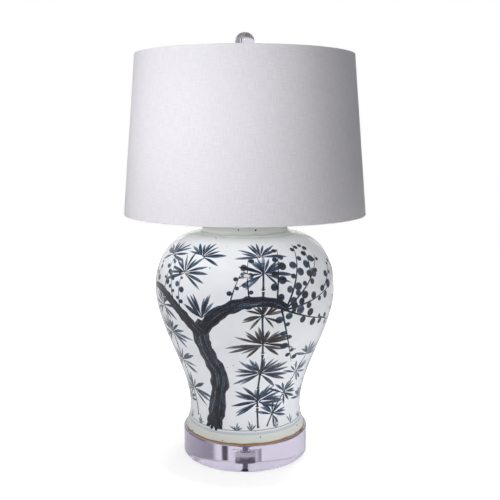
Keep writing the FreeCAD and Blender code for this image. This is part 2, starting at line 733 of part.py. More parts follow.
def binding(z):
    """The fabric folded round a ring's wire, on its inner side."""
    centre, near, far = ring_r(z), RING_WIRE_R + TOUCH_GAP, RING_WIRE_R + TOUCH_GAP + BINDING_T
    fold = Outline(centre, z + near)
    fold.line(centre, z + far)
    fold.arc((centre - far, z), (centre, z - far))
    fold.line(centre, z - near)
    fold.arc((centre - near, z), (centre, z + near))
    return fold.turned()


def arm_run(radius):
    """One spider arm: level beside the washer, then straight up to the top ring."""
    level_z = STUD_Z + SPIDER_WASHER_T / 2
    start = Vector(STUD_SHOULDER_R + FREE_GAP, 0, level_z)
    knee = Vector(SPIDER_WASHER_R + ARM_FLAT, 0, level_z)
    end = Vector(ring_r(TOP_RING_Z), 0, TOP_RING_Z)
    bend = Part.makeSphere(radius, knee)
    return rod_between(start, knee, radius).fuse([bend, rod_between(knee, end, radius)])


def spider_arms():
    ring_wire, washer = wire_ring(TOP_RING_Z), disc(SPIDER_WASHER_R, STUD_Z, SPIDER_WASHER_T)
    arm = arm_run(ARM_WIRE_R).cut(ring_wire).cut(washer).removeSplitter()
    # Only the run between washer and ring is kept; what the weld takes is left out.
    arm = max(arm.Solids, key=lambda s: s.Volume)
    return Part.makeCompound(around(arm, ARM_COUNT, 90))


def top_binding():
    fold = binding(TOP_RING_Z)
    for run in around(arm_run(ARM_WIRE_R + TOUCH_GAP), ARM_COUNT, 90):
        fold = fold.cut(run)
    return fold


# ---- Finial ------------------------------------------------------------------------------------------------


def finial_cap():
    """The threaded brass neck, with a cup that the ball is cemented in."""
    top = FINIAL_Z + FINIAL_NECK_H + FINIAL_CUP_DEPTH
    cup_z = top - FINIAL_CUP_H
    cap = Outline(0, FINIAL_Z)
    cap.line(FINIAL_FOOT_R, FINIAL_Z)
    cap.line(FINIAL_FOOT_R, FINIAL_Z + FINIAL_FOOT_T)
    cap.curve((FINIAL_NECK_R, FINIAL_Z + FINIAL_FOOT_T), (FINIAL_NECK_R, (FINIAL_Z + cup_z) / 2))
    cap.curve((FINIAL_NECK_R, cup_z), (FINIAL_CUP_R, cup_z))
    cap.line(FINIAL_CUP_R, top)
    cap.line(0, top)
    ball = Part.makeSphere(BALL_R, Vector(0, 0, BALL_Z))
    thread_h = STUD_Z + STUD_THREAD_H + FREE_GAP - FINIAL_Z
    return cap.turned().cut(ball).cut(disc(STUD_R + RUN_GAP, FINIAL_Z, thread_h))


# ---- Every piece, by the name of its file ------------------------------------------------------------------

PIECES = {
    "bumper_pads": bumper_pads(),
    "acrylic_block": acrylic_block(),
    "rod_washer": ring(WASHER_R, ROD_HOLE_R, WASHER_Z, WASHER_T),
    "lock_washer": lock_washer(),
    "rod_nut": hex_nut(NUT_FLATS, ROD_HOLE_R, NUT_Z, NUT_T),
    "threaded_rod": threaded_rod(),
    "foot_gasket": foot_gasket(),
    "porcelain_jar": porcelain_jar(),
    "outlet_bushing": outlet_bushing(),
    "neck_cap": neck_cap(),
    "cap_nut": hex_nut(CAP_NUT_FLATS, ROD_HOLE_R, CAP_TOP_Z, CAP_NUT_T),
    "riser_tube": ring(RISER_R, ROD_HOLE_R, RISER_Z, RISER_H),
    "harp_saddle": harp_saddle(),
    "harp": harp(),
    "left_sleeve": sleeve(-1),
    "right_sleeve": sleeve(1),
    "harp_stud": harp_stud(),
    "socket_cap": socket_cap(),
    "socket_shell": socket_shell(),
    "socket_lining": socket_lining(),
    "socket_core": socket_core(),
    "terminal_screws": terminal_screws(),
    "screw_shell": screw_shell(),
    "centre_contact": disc(CONTACT_R, SCREW_SHELL_Z, CONTACT_H),
    "switch_shaft": switch_shaft(),
    "switch_key": switch_key(),
    "bulb_tip": disc(BULB_TIP_R, BULB_Z, BULB_TIP_H),
    "bulb_insulator": bulb_insulator(),
    "bulb_base": bulb_base(),
    "bulb_glass": bulb_glass(),
    "shade_cover": cone_skin(0, COVER_T),
    "shade_liner": cone_skin(COVER_T + TOUCH_GAP, LINER_T),
    "top_ring": wire_ring(TOP_RING_Z),
    "bottom_ring": wire_ring(BOTTOM_RING_Z),
    "top_binding": top_binding(),
    "bottom_binding": binding(BOTTOM_RING_Z),
    "spider_arms": spider_arms(),
    "spider_washer": ring(SPIDER_WASHER_R, STUD_R + FREE_GAP, STUD_Z, SPIDER_WASHER_T),
    "finial_cap": finial_cap(),
    "finial_ball": Part.makeSphere(BALL_R, Vector(0, 0, BALL_Z)),
}

os.makedirs("parts", exist_ok=True)
for name, shape in PIECES.items():
    if not shape.isValid() or shape.Volume <= 0:
        raise ValueError(f"{name} isn't a sound solid")
    shape.exportStep(f"parts/{name}.step")
    print(f"{name}: {len(shape.Solids)} solid(s), {shape.Volume / 1000:.1f} cm3")
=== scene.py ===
# %% [markdown]
# # Ginger jar lamp
# A painted porcelain jar stands on a clear acrylic block and carries a tapered linen shade on a harp. The
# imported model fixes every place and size, in metres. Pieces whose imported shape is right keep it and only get
# a finish here. The jar with its painting, the shade's cloth, the block and the ball are made again, finer.

import random
from bisect import bisect_right
from math import asin, atan2, cos, degrees, hypot, pi, radians, sin, sqrt, tau

import bmesh
import bpy
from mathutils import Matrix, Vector, geometry, noise


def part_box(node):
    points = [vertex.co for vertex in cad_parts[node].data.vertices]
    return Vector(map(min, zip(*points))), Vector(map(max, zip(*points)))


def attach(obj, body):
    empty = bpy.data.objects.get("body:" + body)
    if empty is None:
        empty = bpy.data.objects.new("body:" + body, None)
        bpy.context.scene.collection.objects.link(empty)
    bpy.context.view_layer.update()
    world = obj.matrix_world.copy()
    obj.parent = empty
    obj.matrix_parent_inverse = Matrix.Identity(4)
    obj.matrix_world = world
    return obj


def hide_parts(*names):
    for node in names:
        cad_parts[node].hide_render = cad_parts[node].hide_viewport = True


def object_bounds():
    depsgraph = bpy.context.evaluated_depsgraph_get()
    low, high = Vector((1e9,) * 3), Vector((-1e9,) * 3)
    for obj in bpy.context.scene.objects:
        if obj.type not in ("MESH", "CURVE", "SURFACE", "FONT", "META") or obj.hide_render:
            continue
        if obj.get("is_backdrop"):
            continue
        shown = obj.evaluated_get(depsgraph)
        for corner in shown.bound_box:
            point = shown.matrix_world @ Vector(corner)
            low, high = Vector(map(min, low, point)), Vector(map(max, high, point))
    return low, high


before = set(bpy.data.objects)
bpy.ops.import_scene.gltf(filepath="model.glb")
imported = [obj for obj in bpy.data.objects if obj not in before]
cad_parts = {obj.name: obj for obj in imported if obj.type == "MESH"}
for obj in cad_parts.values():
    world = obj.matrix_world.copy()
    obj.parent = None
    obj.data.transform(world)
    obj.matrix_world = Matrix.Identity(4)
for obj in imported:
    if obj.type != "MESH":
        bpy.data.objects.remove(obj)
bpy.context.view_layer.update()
scene = bpy.context.scene
MM = 0.001

# %% [markdown]
# ## Camera
# The photograph was taken a little from above with a short telephoto look. One camera was fitted to the
# ellipses of the shade and the block: a 54 mm lens on a 36 mm wide sensor, tipped down by nine degrees. It
# stands 8.5 mm right of the lamp's axis, which puts the lamp as far left of the picture's middle as it is in
# the photograph.

# %% Camera
TIPPED_DOWN = 9
camera = bpy.data.objects.new("camera", bpy.data.cameras.new("camera"))
camera.data.lens, camera.data.sensor_width = 54, 36
camera.location = (0.0085, -1.2707, 0.5567)
camera.rotation_euler = (radians(90 - TIPPED_DOWN), 0, 0)
scene.collection.objects.link(camera)
scene.camera = camera
scene.view_settings.view_transform = "Standard"
print("camera at", tuple(round(v, 4) for v in camera.location))

# %% [markdown]
# ## Colour and nodes
# A colour is written as the sRGB hex value that a screen gives. Shaders count in linear light, so one
# function turns hex to linear. A second one adds a shader node with its settings, its colour stops and its
# inputs. Inputs go by their names, but the inputs of a Math or Mix node share one name and go by their
# numbers. Noise mostly stays between 0.3 and 0.7, so that span is stretched.


# %% Colour and node helpers
def srgb(code, alpha=1.0):
    """The linear colour of an sRGB hex value."""
    parts = [int(code[k : k + 2], 16) / 255 for k in (1, 3, 5)]
    return (*(c / 12.92 if c <= 0.04045 else ((c + 0.055) / 1.055) ** 2.4 for c in parts), alpha)


FACTOR, A, B = 0, 6, 7
NOISE = (0.3, 0.7)


def node(tree, kind, inputs=(), stops=(), **settings):
    """Adds a node. An input takes a node, for its first output, or one output, a hex colour or a constant."""
    made = tree.nodes.new("ShaderNode" + kind)
    for name, value in settings.items():
        setattr(made, name, value)
    if stops:
        elements = made.color_ramp.elements
        for place, *colour in stops[1:-1]:
            elements.new(place).color = srgb(*colour)
        for element, (place, *colour) in ((elements[0], stops[0]), (elements[-1], stops[-1])):
            element.position, element.color = place, srgb(*colour)
    for socket, value in dict(inputs).items():
        if isinstance(value, bpy.types.Node):
            value = next(out for out in value.outputs if out.enabled)
        if isinstance(value, bpy.types.NodeSocket):
            tree.links.new(value, made.inputs[socket])
        else:
            made.inputs[socket].default_value = srgb(value) if isinstance(value, str) else value
    return made


def span(value, low, high, least=0.0, most=1.0):
    """The inputs of a Map Range node: a value, its range, and what that is stretched to."""
    return {"Value": value, "From Min": low, "From Max": high, "To Min": least, "To Max": most}


def sized(place, mm, detail):
    """The inputs of a noise in patches of this many millimetres; its scale counts them per metre."""
    return {"Vector": place, "Scale": 1000 / mm, "Detail": detail}


def fresh_tree(owner):
    """The empty shader tree of a new material or of the world."""
    owner.use_nodes = True
    owner.node_tree.nodes.clear()
    return owner.node_tree


def new_finish(name):
    """A new material, its shader tree, and the place on the piece that its patterns read."""
    made = bpy.data.materials.new(name)
    tree = fresh_tree(made)
    return made, tree, node(tree, "TexCoord").outputs["Object"]


# %% [markdown]
# ## Floor, background and light
# The lamp stands on a plain white table in front of a white background. What the camera sees of them is set
# apart from the light that falls on the lamp, so the ground is white and the pale shade doesn't clip. Clear
# pieces show white walls behind them, with one dark gap and a grey side; a gloss mirrors the room in front,
# which is dim. Small lamps with grids light one part each: the shade from the front left, so that it falls
# off to the right, the jar's foot from both sides, and its shoulders from above through the shade's
# opening. A wide one stands behind. Only the lamp high in front shows in a gloss.

# %% Background
world = scene.world = bpy.data.worlds.new("studio")
AMBIENT = (0.12, 0.12, 0.12, 1)


def shown_rays(tree, rays):
    """1 for the rays that carry what is seen in a gloss or through a clear piece."""
    kinds = {0: rays.outputs["Is Glossy Ray"], 1: rays.outputs["Is Transmission Ray"]}
    return node(tree, "Math", kinds, operation="MAXIMUM")


def around(tree, way, stops):
    """The studio's colour in a direction: round the lamp from its front by the left, back and right."""
    parts = node(tree, "SeparateXYZ", {0: way})
    turn = node(tree, "Math", {0: parts.outputs["X"], 1: parts.outputs["Y"]}, operation="ARCTAN2")
    share = node(tree, "MapRange", span(turn, -pi, pi))
    return node(tree, "ValToRGB", {"Fac": share}, stops=stops)


def studio(tree, way, rays):
    """What clear and glossy pieces see of the room."""
    clear = around(tree, way, [(0.0, SOFT), *BACK_AND_SIDE, (1.0, SOFT)])
    left, right = [(0.0, DIM), (0.13, DIM), (0.2, SOFT)], [(0.8, SOFT), (0.87, DIM), (1.0, DIM)]
    gloss = around(tree, way, [*left, *BACK_AND_SIDE, *right])
    through = rays.outputs["Is Transmission Ray"]
    return node(tree, "Mix", {FACTOR: through, A: gloss, B: clear}, data_type="RGBA")


DIM, SOFT, WHITE = "#68686e", "#dcdce0", "#f6f6f8"
GAP, SIDE, SIDE_LIT = "#56565c", "#9c9aa2", "#aeacb4"
BACK_AND_SIDE = [(0.36, WHITE), (0.527, WHITE), (0.531, GAP), (0.539, GAP), (0.543, WHITE), (0.552, WHITE)]
BACK_AND_SIDE += [(0.562, SIDE), (0.66, SIDE_LIT), (0.76, SOFT)]
tree = fresh_tree(world)
rays = node(tree, "LightPath")
shown = shown_rays(tree, rays)
walls = studio(tree, node(tree, "TexCoord").outputs["Generated"], rays)
ambient = node(tree, "Mix", {FACTOR: shown, A: AMBIENT, B: walls}, data_type="RGBA")
seen = node(tree, "Mix", {FACTOR: rays.outputs["Is Camera Ray"], A: ambient, B: "#ffffff"}, data_type="RGBA")
node(tree, "OutputWorld", {"Surface": node(tree, "Background", {"Color": seen, "Strength": 1.0})})
print("studio set")

# %% [markdown]
# ## Table top
# The table lifts its own light towards white as it leads away from the lamp, so the picture's ground ends up
# white and only the shadow next to the block stays. Clear and glossy pieces see less of that light than the
# camera does.

# %% Table top
TABLE_HALF = 4.0
NEAR, FAR, NEAR_GLOW, FAR_GLOW, SHOWN_GLOW = 0.14, 0.6, 0.69, 0.9, 0.42
white_table, tree, place = new_finish("white laminate table")
grain = node(tree, "TexNoise", {"Vector": place, "Scale": 90.0, "Detail": 3.0})
tint = node(tree, "ValToRGB", {"Fac": grain}, stops=[(0.3, "#eeeeef"), (0.7, "#f4f4f4")])
lit = node(tree, "BsdfDiffuse", {"Color": tint})
rays = node(tree, "LightPath")
shown = shown_rays(tree, rays)
straight = rays.outputs["Is Camera Ray"]
walls = studio(tree, place, rays)
colour = node(tree, "Mix", {FACTOR: straight, A: walls, B: "#ffffff"}, data_type="RGBA")
through = node(tree, "Math", {0: shown, 1: SHOWN_GLOW}, operation="MULTIPLY")
away = node(tree, "VectorMath", {0: place}, operation="LENGTH")
lift = span(away, NEAR, FAR, NEAR_GLOW, FAR_GLOW)
bright = node(tree, "MapRange", lift, interpolation_type="SMOOTHSTEP")
strength = node(tree, "Mix", {FACTOR: straight, 2: through, 3: bright}, data_type="FLOAT")
glow = node(tree, "Emission", {"Color": colour, "Strength": strength})
node(tree, "OutputMaterial", {"Surface": node(tree, "AddShader", {0: lit, 1: glow})})


def to_object(name, bm, material):
    """Shows a bmesh as an object with its material."""
    mesh = bpy.data.meshes.new(name)
    bm.to_mesh(mesh)
    bm.free()
    mesh.materials.append(material)
    made = bpy.data.objects.new(name, mesh)
    scene.collection.objects.link(made)
    return made


bm = bmesh.new()
bmesh.ops.create_grid(bm, x_segments=2, y_segments=2, size=TABLE_HALF)
table_top = to_object("table_top", bm, white_table)
table_top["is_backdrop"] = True
print("table top", 2 * TABLE_HALF, "m wide")


# %% Lamps
def soft_lamp(name, turn, height, away, size, power, aim, spread=180, glint=False):
    """A round soft lamp, aimed at a height on the axis; turn is from the front, to the right."""
    angle = radians(turn)
    lamp = bpy.data.objects.new(name, bpy.data.lights.new(name, "AREA"))
    lamp.data.shape, lamp.data.size, lamp.data.energy = "DISK", size, power
    lamp.data.spread, lamp.visible_glossy = radians(spread), glint
    lamp.visible_camera = lamp.visible_transmission = False
    lamp.location = (away * sin(angle), -away * cos(angle), height)
    lamp.rotation_euler = (Vector((0, 0, aim)) - lamp.location).to_track_quat("-Z", "Y").to_euler()
    scene.collection.objects.link(lamp)


# turn in degrees, then height, distance from the axis and size in metres, and power in watts
soft_lamp("key_left", -46, 0.8, 1.9, 0.5, 0.84, aim=0.56, spread=30)
soft_lamp("front", 4, 0.75, 2.2, 0.5, 0.5, aim=0.54, spread=34)
soft_lamp("low_right", 58, 0.12, 0.9, 0.3, 0.24, aim=0.15, spread=38)
soft_lamp("low_left", -58, 0.12, 0.9, 0.3, 0.12, aim=0.12, spread=38)
soft_lamp("low_front", -4, 0.1, 0.95, 0.3, 0.05, aim=0.06, spread=30)
soft_lamp("overhead", 0, 2.3, 0.0, 0.3, 0.28, aim=0.4, spread=20)
soft_lamp("back", 160, 0.6, 2.2, 1.2, 27, aim=0.4)
soft_lamp("front_high", 3, 1.6, 2.0, 0.3, 4, aim=0.3, glint=True)

# %% [markdown]
# ## Turned shapes
# Block, ball, shade and jar are all round, so each starts as half an outline that is spun round the lamp's
# axis. The spin starts at the back, where a seam shows least. Radius and height are written in millimetres.
# Points that the spin leaves in one place, 0.002 mm apart or less, become one.


# %% Outlines and spins
SAME_PLACE = 2e-6


def curve(steps, *corners):
    """Places on a smooth curve between two corners, without the first. Corners between them only pull it."""
    places = []
    for k in range(1, steps + 1):
        points = [Vector(c) for c in corners]
        while len(points) > 1:
            points = [a.lerp(b, k / steps) for a, b in zip(points, points[1:])]
        places.append(tuple(points[0]))
    return places


def arc(r, z, size, start, end, steps):
    """Places on a round corner about a centre, between two angles in degrees, without the first."""
    angles = [radians(start + (end - start) * k / steps) for k in range(1, steps + 1)]
    return [(r + size * cos(a), z + size * sin(a)) for a in angles]


def spin(bm, outline, steps, closed=False):
    """Spins an outline of (radius, height) round the axis, into the bmesh."""
    points = [bm.verts.new((0, r * MM, z * MM)) for r, z in outline]
    edges = [bm.edges.new(pair) for pair in zip(points, points[1:])]
    if closed:
        edges.append(bm.edges.new((points[-1], points[0])))
    bmesh.ops.spin(bm, geom=points + edges, axis=(0, 0, 1), angle=tau, steps=steps, use_merge=True)
    bmesh.ops.remove_doubles(bm, verts=bm.verts, dist=SAME_PLACE)


def keep(name, bm, body, replaced, material, sharp=30):
    """Makes a bmesh into a finished piece that rides on a body and stands for CAD nodes."""
    bmesh.ops.recalc_face_normals(bm, faces=bm.faces)
    piece = to_object(name, bm, material)
    mesh = piece.data
    mesh.shade_smooth()
    mesh.set_sharp_from_angle(angle=radians(sharp))
    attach(piece, body)
    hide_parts(*replaced)
    print(name, len(mesh.vertices), "points", len(mesh.polygons), "faces")
    return piece


# %% [markdown]
# ## Clear acrylic
# The block and the ball are cast acrylic: light bends in it about as in glass, with an index of 1.49, and
# thick pieces look faintly lilac. The block's faces are polished flat and keep long, faint waves. The ball
# was turned, so its waves are shorter and break a reflection's edge. The pocket and the chamfers are milled
# and show the cutter's fine rings. A clear piece needs an exact, finely divided surface, because every facet
# would show twice. Rings come from a wave texture, which at a scale of 1 turns through 20 radians in a metre.


# %% Acrylic
WAVE_TURN = 20


def acrylic(name, tint, haze, relief, wave_mm=None, ring_mm=None):
    """Clear acrylic with soft waves, or with the rings that a cutter leaves."""
    made, tree, place = new_finish(name)
    marks = node(tree, "TexNoise", sized(place, wave_mm or ring_mm, 1.0))
    rough = node(tree, "MapRange", span(marks, *NOISE, *haze))
    height = marks
    if ring_mm:
        scale = 1000 / ring_mm * tau / WAVE_TURN
        wave = {"Vector": place, "Scale": scale, "Distortion": 1.5}
        height = node(tree, "TexWave", wave, bands_direction="Z").outputs["Fac"]
    bump = node(tree, "Bump", {"Height": height, "Strength": 0.5, "Distance": relief})
    inputs = {"Base Color": tint, "Transmission Weight": 1.0, "IOR": 1.49, "Roughness": rough, "Normal": bump}
    node(tree, "OutputMaterial", {"Surface": node(tree, "BsdfPrincipled", inputs)})
    return made


cast_acrylic = acrylic("cast acrylic, polished", "#ddd5e8", (0.0, 0.03), 0.0001, wave_mm=26)
turned_acrylic = acrylic("acrylic ball, turned and polished", "#e6e3ec", (0.0, 0.06), 0.0007, wave_mm=5)
milled_acrylic = acrylic("cast acrylic, milled", "#efebf3", (0.02, 0.09), 0.00002, ring_mm=1.2)
print("acrylics made")

# %% [markdown]
# ## Clear block
# A disc 216 mm across with fine chamfers. The rod's nut sits in a pocket in its underside, and the rod
# goes up through a hole. Both are part of the spun outline, so light also bends at their walls and the
# block shows the hardware magnified, as a real one does. A hair of air, 0.03 mm, stays below the gasket
# and above the washer, as between any two real surfaces. Without it both would show as dark as if they
# were glued on.

# %% Clear block
block_low, block_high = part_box("acrylic_block")
CHAMFER, POCKET_R, ROD_HOLE_R, AIR = 0.8, 19.0, 5.05, 0.03
SIDE_ROWS, SLACK = 8, 0.1
BLOCK_R, LOW, HIGH = block_high.x / MM, block_low.z / MM, block_high.z / MM - AIR
POCKET_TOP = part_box("rod_washer")[1].z / MM + AIR
outline = [(POCKET_R, LOW), (BLOCK_R - CHAMFER, LOW), (BLOCK_R, LOW + CHAMFER)]
outline += [(BLOCK_R, LOW + (HIGH - LOW) * k / SIDE_ROWS) for k in range(1, SIDE_ROWS)]
outline += [(BLOCK_R, HIGH - CHAMFER), (BLOCK_R - CHAMFER, HIGH)]
outline += [(ROD_HOLE_R, HIGH), (ROD_HOLE_R, POCKET_TOP), (POCKET_R, POCKET_TOP)]
bm = bmesh.new()
spin(bm, outline, steps=256, closed=True)
for face in bm.faces:
    middle = face.calc_center_median() / MM
    across = hypot(middle.x, middle.y)
    bore = across < POCKET_R + SLACK and middle.z < POCKET_TOP + SLACK
    chamfer = across > BLOCK_R - CHAMFER and min(middle.z - LOW, HIGH - middle.z) < CHAMFER
    face.material_index = int(bore or chamfer)
clear_block = keep("clear_block", bm, "lamp", ["acrylic_block"], cast_acrylic)
clear_block.data.materials.append(milled_acrylic)

# %% Ball of the finial
ball_low, ball_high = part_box("finial_ball")
BALL_R, BALL_Z = (ball_high.z - ball_low.z) / 2 / MM, (ball_high.z + ball_low.z) / 2 / MM
bm = bmesh.new()
spin(bm, [(0, BALL_Z - BALL_R)] + arc(0, BALL_Z, BALL_R, -90, 90, 64), steps=128)
keep("clear_ball", bm, "finial", ["finial_ball"], turned_acrylic, sharp=180)

# %% [markdown]
# ## The jar's wall, unrolled
# The painter worked on the round wall with a brush, and a brush stroke has a crisp edge. An image could carry
# it, but this model takes none, and a pattern in the shader can't draw a plum tree. So the wall is unrolled
# to a flat sheet, the strokes are laid on it as small shapes, and both are cut into triangles together.
# Rolled up again, every stroke's edge is an edge of the mesh. A place on the wall is a turn in degrees from
# the front, to the right, and a height in millimetres measured along the wall. The inside runs 7 mm behind
# the outside, and both are curves between named places, pulled by the places that are written between those.


# %% Wall outlines
class Wall:
    """One side of the jar's wall, from an outline of (radius, height)."""

    SLOPE_STEP = 0.4

    def __init__(self, outline):
        self.outline = outline
        self.lengths = [0.0]
        for (r, z), (s, y) in zip(outline, outline[1:]):
            self.lengths.append(self.lengths[-1] + hypot(s - r, y - z))

    def at(self, height):
        """Radius and height above the table at a height along the wall."""
        k = min(max(bisect_right(self.lengths, height), 1), len(self.lengths) - 1)
        share = (height - self.lengths[k - 1]) / (self.lengths[k] - self.lengths[k - 1])
        (r, z), (s, y) = self.outline[k - 1], self.outline[k]
        return r + (s - r) * share, z + (y - z) * share

    def place(self, turn, height):
        """The place in the model, in metres."""
        r, z = self.at(height)
        a = radians(turn)
        return Vector((r * sin(a), -r * cos(a), z)) * MM

    def normal(self, turn, height):
        """The direction that the wall faces."""
        (r, z), (s, y) = self.at(height - self.SLOPE_STEP), self.at(height + self.SLOPE_STEP)
        a, out, up = radians(turn), y - z, r - s
        return Vector((out * sin(a), -out * cos(a), up)).normalized()

    def rows(self, most=4.2, bend=4):
        """Heights of the mesh's rows: closer together where the outline bends more."""
        rows, row_heading = [0.0], None
        for k in range(1, len(self.outline)):
            (r, z), (s, y) = self.outline[k - 1], self.outline[k]
            heading = degrees(atan2(y - z, s - r))
            row_heading = heading if row_heading is None else row_heading
            if self.lengths[k] - rows[-1] >= most or abs(heading - row_heading) >= bend:
                rows.append(self.lengths[k])
                row_heading = heading
        return rows[:-1] + [self.lengths[-1]]


FOOT, WAIST, BELLY, COLLAR, NECK = (104.5, 48.2), (96.2, 85), (153.6, 297), (79, 388), (72, 398)
FLOOR_IN, WAIST_IN, BELLY_IN, COLLAR_IN, NECK_IN = (89.2, 68), (89.2, 85), (146.6, 297), (79, 381), (65, 393)
LIP_OUT, LIP_IN = (72, 410.5), (65, 410.5)
outside = Wall(
    [FOOT]
    + curve(24, FOOT, (96.2, 69.04), WAIST)
    + curve(300, WAIST, (96.2, 155.67), (153.6, 226.33), BELLY)
    + curve(200, BELLY, (153.6, 347.26), (120.2, 388), COLLAR)
    + curve(40, COLLAR, (72, 389.67), NECK)
    + curve(8, NECK, LIP_OUT)
)
inside = Wall(
    [FLOOR_IN]
    + curve(8, FLOOR_IN, WAIST_IN)
    + curve(100, WAIST_IN, (89.2, 155.67), (146.6, 226.33), BELLY_IN)
    + curve(60, BELLY_IN, (146.6, 343.4), (116.3, 381), COLLAR_IN)
    + curve(20, COLLAR_IN, (65, 381), NECK_IN)
    + curve(6, NECK_IN, LIP_IN)
)
print("wall", round(outside.lengths[-1], 1), "mm outside and", round(inside.lengths[-1], 1), "mm inside")

# %% [markdown]
# ## Brush strokes
# A stroke is a line of places with half a width at each. Ink is how dark it is laid, warmth leads from
# blue-black to brown-black, and dryness is how far the bristles part. Lines on the wall are walked step by
# step, like an ant that keeps a heading and turns a little, so that a leaf keeps its size wherever it sits.

# %% Strokes
strokes = []
hand = random.Random(11)
vary = hand.uniform


def brush(places, ink=0.9, warmth=0.2, dry=0.25, fade=0.0):
    """Lays one stroke; places are (turn, height, half width). Fade is what the ink loses by the tip."""
    strokes.append({"places": places, "ink": ink, "warmth": warmth, "dry": dry, "fade": fade})


def walk(turn, height, heading, length, bend=0.0, steps=7):
    """Places (turn, height, heading) along a bent line; heading 0 is to the right and 90 is up."""
    line = [(turn, height, heading)]
    for _ in range(steps):
        heading += bend / steps
        angle, step = radians(heading), length / steps
        turn += degrees(step * cos(angle) / outside.at(height)[0])
        height += step * sin(angle)
        line.append((turn, height, heading))
    return line


def smooth(points, steps=6):
    """A smooth line through all the points."""
    ends, line = [points[0], *points, points[-1]], []
    for quad in zip(ends, ends[1:], ends[2:], ends[3:]):
        for f in (k / steps for k in range(steps)):
            pulls = [(c - a, 2 * a - 5 * b + 4 * c - d, 3 * b - a - 3 * c + d) for a, b, c, d in zip(*quad)]
            line.append(tuple(b + 0.5 * f * (p + f * (q + f * r)) for b, (p, q, r) in zip(quad[1], pulls)))
    return line + [points[-1]]


def beside(places, k, share):
    """The place to the left of the k-th one of a stroke, by a share of its half width."""
    (t, h, w), (u, g, _), (v, f, _) = places[k], places[max(k - 1, 0)], places[min(k + 1, len(places) - 1)]
    r = outside.at(h)[0]
    dx, dy = radians(v - u) * r, f - g
    size = hypot(dx, dy) or 1.0
    return t - degrees(dy / size * share * w / r), h + dx / size * share * w


def leaf(turn, height, heading, length, half, bend, **ink):
    """A bamboo leaf: started thin, pressed down past its middle, lifted to a point."""
    line = walk(turn, height, heading, length, bend, 8)
    widths = [max(0.45 - 0.04 * k, half * sin(pi * (k / 8) ** 1.25) ** 0.8) for k in range(9)]
    brush([(t, h, w) for (t, h, _), w in zip(line, widths)], **ink)


# %% [markdown]
# ## Bamboo
# Bamboo is painted as culms in short lengths, with a gap and two small ticks at each node, and as fans of
# pointed leaves that spring from the nodes. The longest leaves lie nearly level, the upright ones are short.


# %% Bamboo
def bamboo_fan(turn, height, reach, leaves, low=-38, high=218, flat=0.56, warmth=0.3, ink=0.92):
    """Leaves from one place, between two headings. Flat is how much shorter the upright ones are."""
    for k in range(leaves):
        heading = low + (high - low) * (k + vary(-0.28, 0.28)) / (leaves - 1)
        angle = radians(heading)
        length = reach / hypot(cos(angle), sin(angle) / flat) * vary(0.72, 1.08)
        bend = (1 if cos(angle) > 0 else -1) * vary(-22, 8)
        half = vary(2.3, 3.3) * (0.6 + 0.4 * length / reach) * (reach / 48) ** 0.5
        at, up, _ = walk(turn, height + vary(-2, 2), heading, 1.2, 0, 1)[-1]
        laid = ink * vary(0.8, 1.05)
        leaf(at, up, heading, length, half, bend, ink=laid, warmth=warmth, dry=0.3, fade=0.35)


def culm(points, node_every=34, half=1.9, warmth=0.3):
    """A bamboo stem through a few points, (turn, height)."""
    line, run = smooth([(t, h, half) for t, h in points], 10), 0.0
    piece = [line[0]]
    for (t, h, w), (u, g, _) in zip(line, line[1:]):
        run += hypot(radians(u - t) * outside.at(h)[0], g - h)
        piece.append((u, g, w))
        if run > node_every * vary(0.85, 1.15) or (u, g) == line[-1][:2]:
            ends = [1.25, *[0.85] * (len(piece) - 2), 1.3]
            brush([(a, b, c * e) for (a, b, c), e in zip(piece, ends)], ink=0.86, warmth=warmth, dry=0.35)
            for side in (-1, 1):
                tick = walk(u, g + 1.4, 90 - side * 68, 5.2, side * 24, 4)
                brush([(a, b, 0.55 - 0.08 * k) for k, (a, b, _) in enumerate(tick)], ink=0.75, warmth=warmth)
            piece, run = [(*walk(u, g, 90, 1.8, 0, 1)[-1][:2], w)], 0.0


# %% [markdown]
# ## Plum
# The plum's trunk is one loaded brush pulled upwards: nearly black, knotted at its edges, and streaked
# where the bristles part and the blue shows. Its twigs are thin and carry round buds on both sides.


# %% Plum
def limb(points, ink=0.97, warmth=0.5, knots=0.16, streaks=5):
    """A trunk or branch through (turn, height, half width), with knotted edges and lighter streaks."""
    line = smooth(points, 7)
    seed = vary(0, 99)
    knotted = [w * (1 + knots * noise.noise((k * 0.43, seed, 0)) * 2) for k, (_, _, w) in enumerate(line)]
    brush([(t, h, w) for (t, h, _), w in zip(line, knotted)], ink=ink, warmth=warmth, dry=0.2)
    for k in range(streaks):
        start = hand.randrange(0, max(1, len(line) - 8))
        part = line[start : start + hand.randint(6, 14)]
        across = vary(-0.62, 0.62)
        tapers = [sin(pi * (m + 0.5) / len(part)) for m in range(len(part))]
        halves = [max(0.15, 0.085 * w * taper) for (_, _, w), taper in zip(part, tapers)]
        trail = [(*beside(part, m, across), half) for m, half in enumerate(halves)]
        brush(trail, ink=ink - vary(0.2, 0.5), warmth=0.0, dry=0.4)


def bud(turn, height, radius, **ink):
    """A round bud, pressed on with the side of the brush."""
    wide = degrees(radius / outside.at(height)[0])
    squash = vary(0.82, 1.08)
    across = [-cos(pi * k / 9) for k in range(10)]
    halves = [max(0.1, radius * squash * sqrt(1 - a * a)) for a in across]
    brush([(turn + wide * a, height, half) for a, half in zip(across, halves)], **ink)


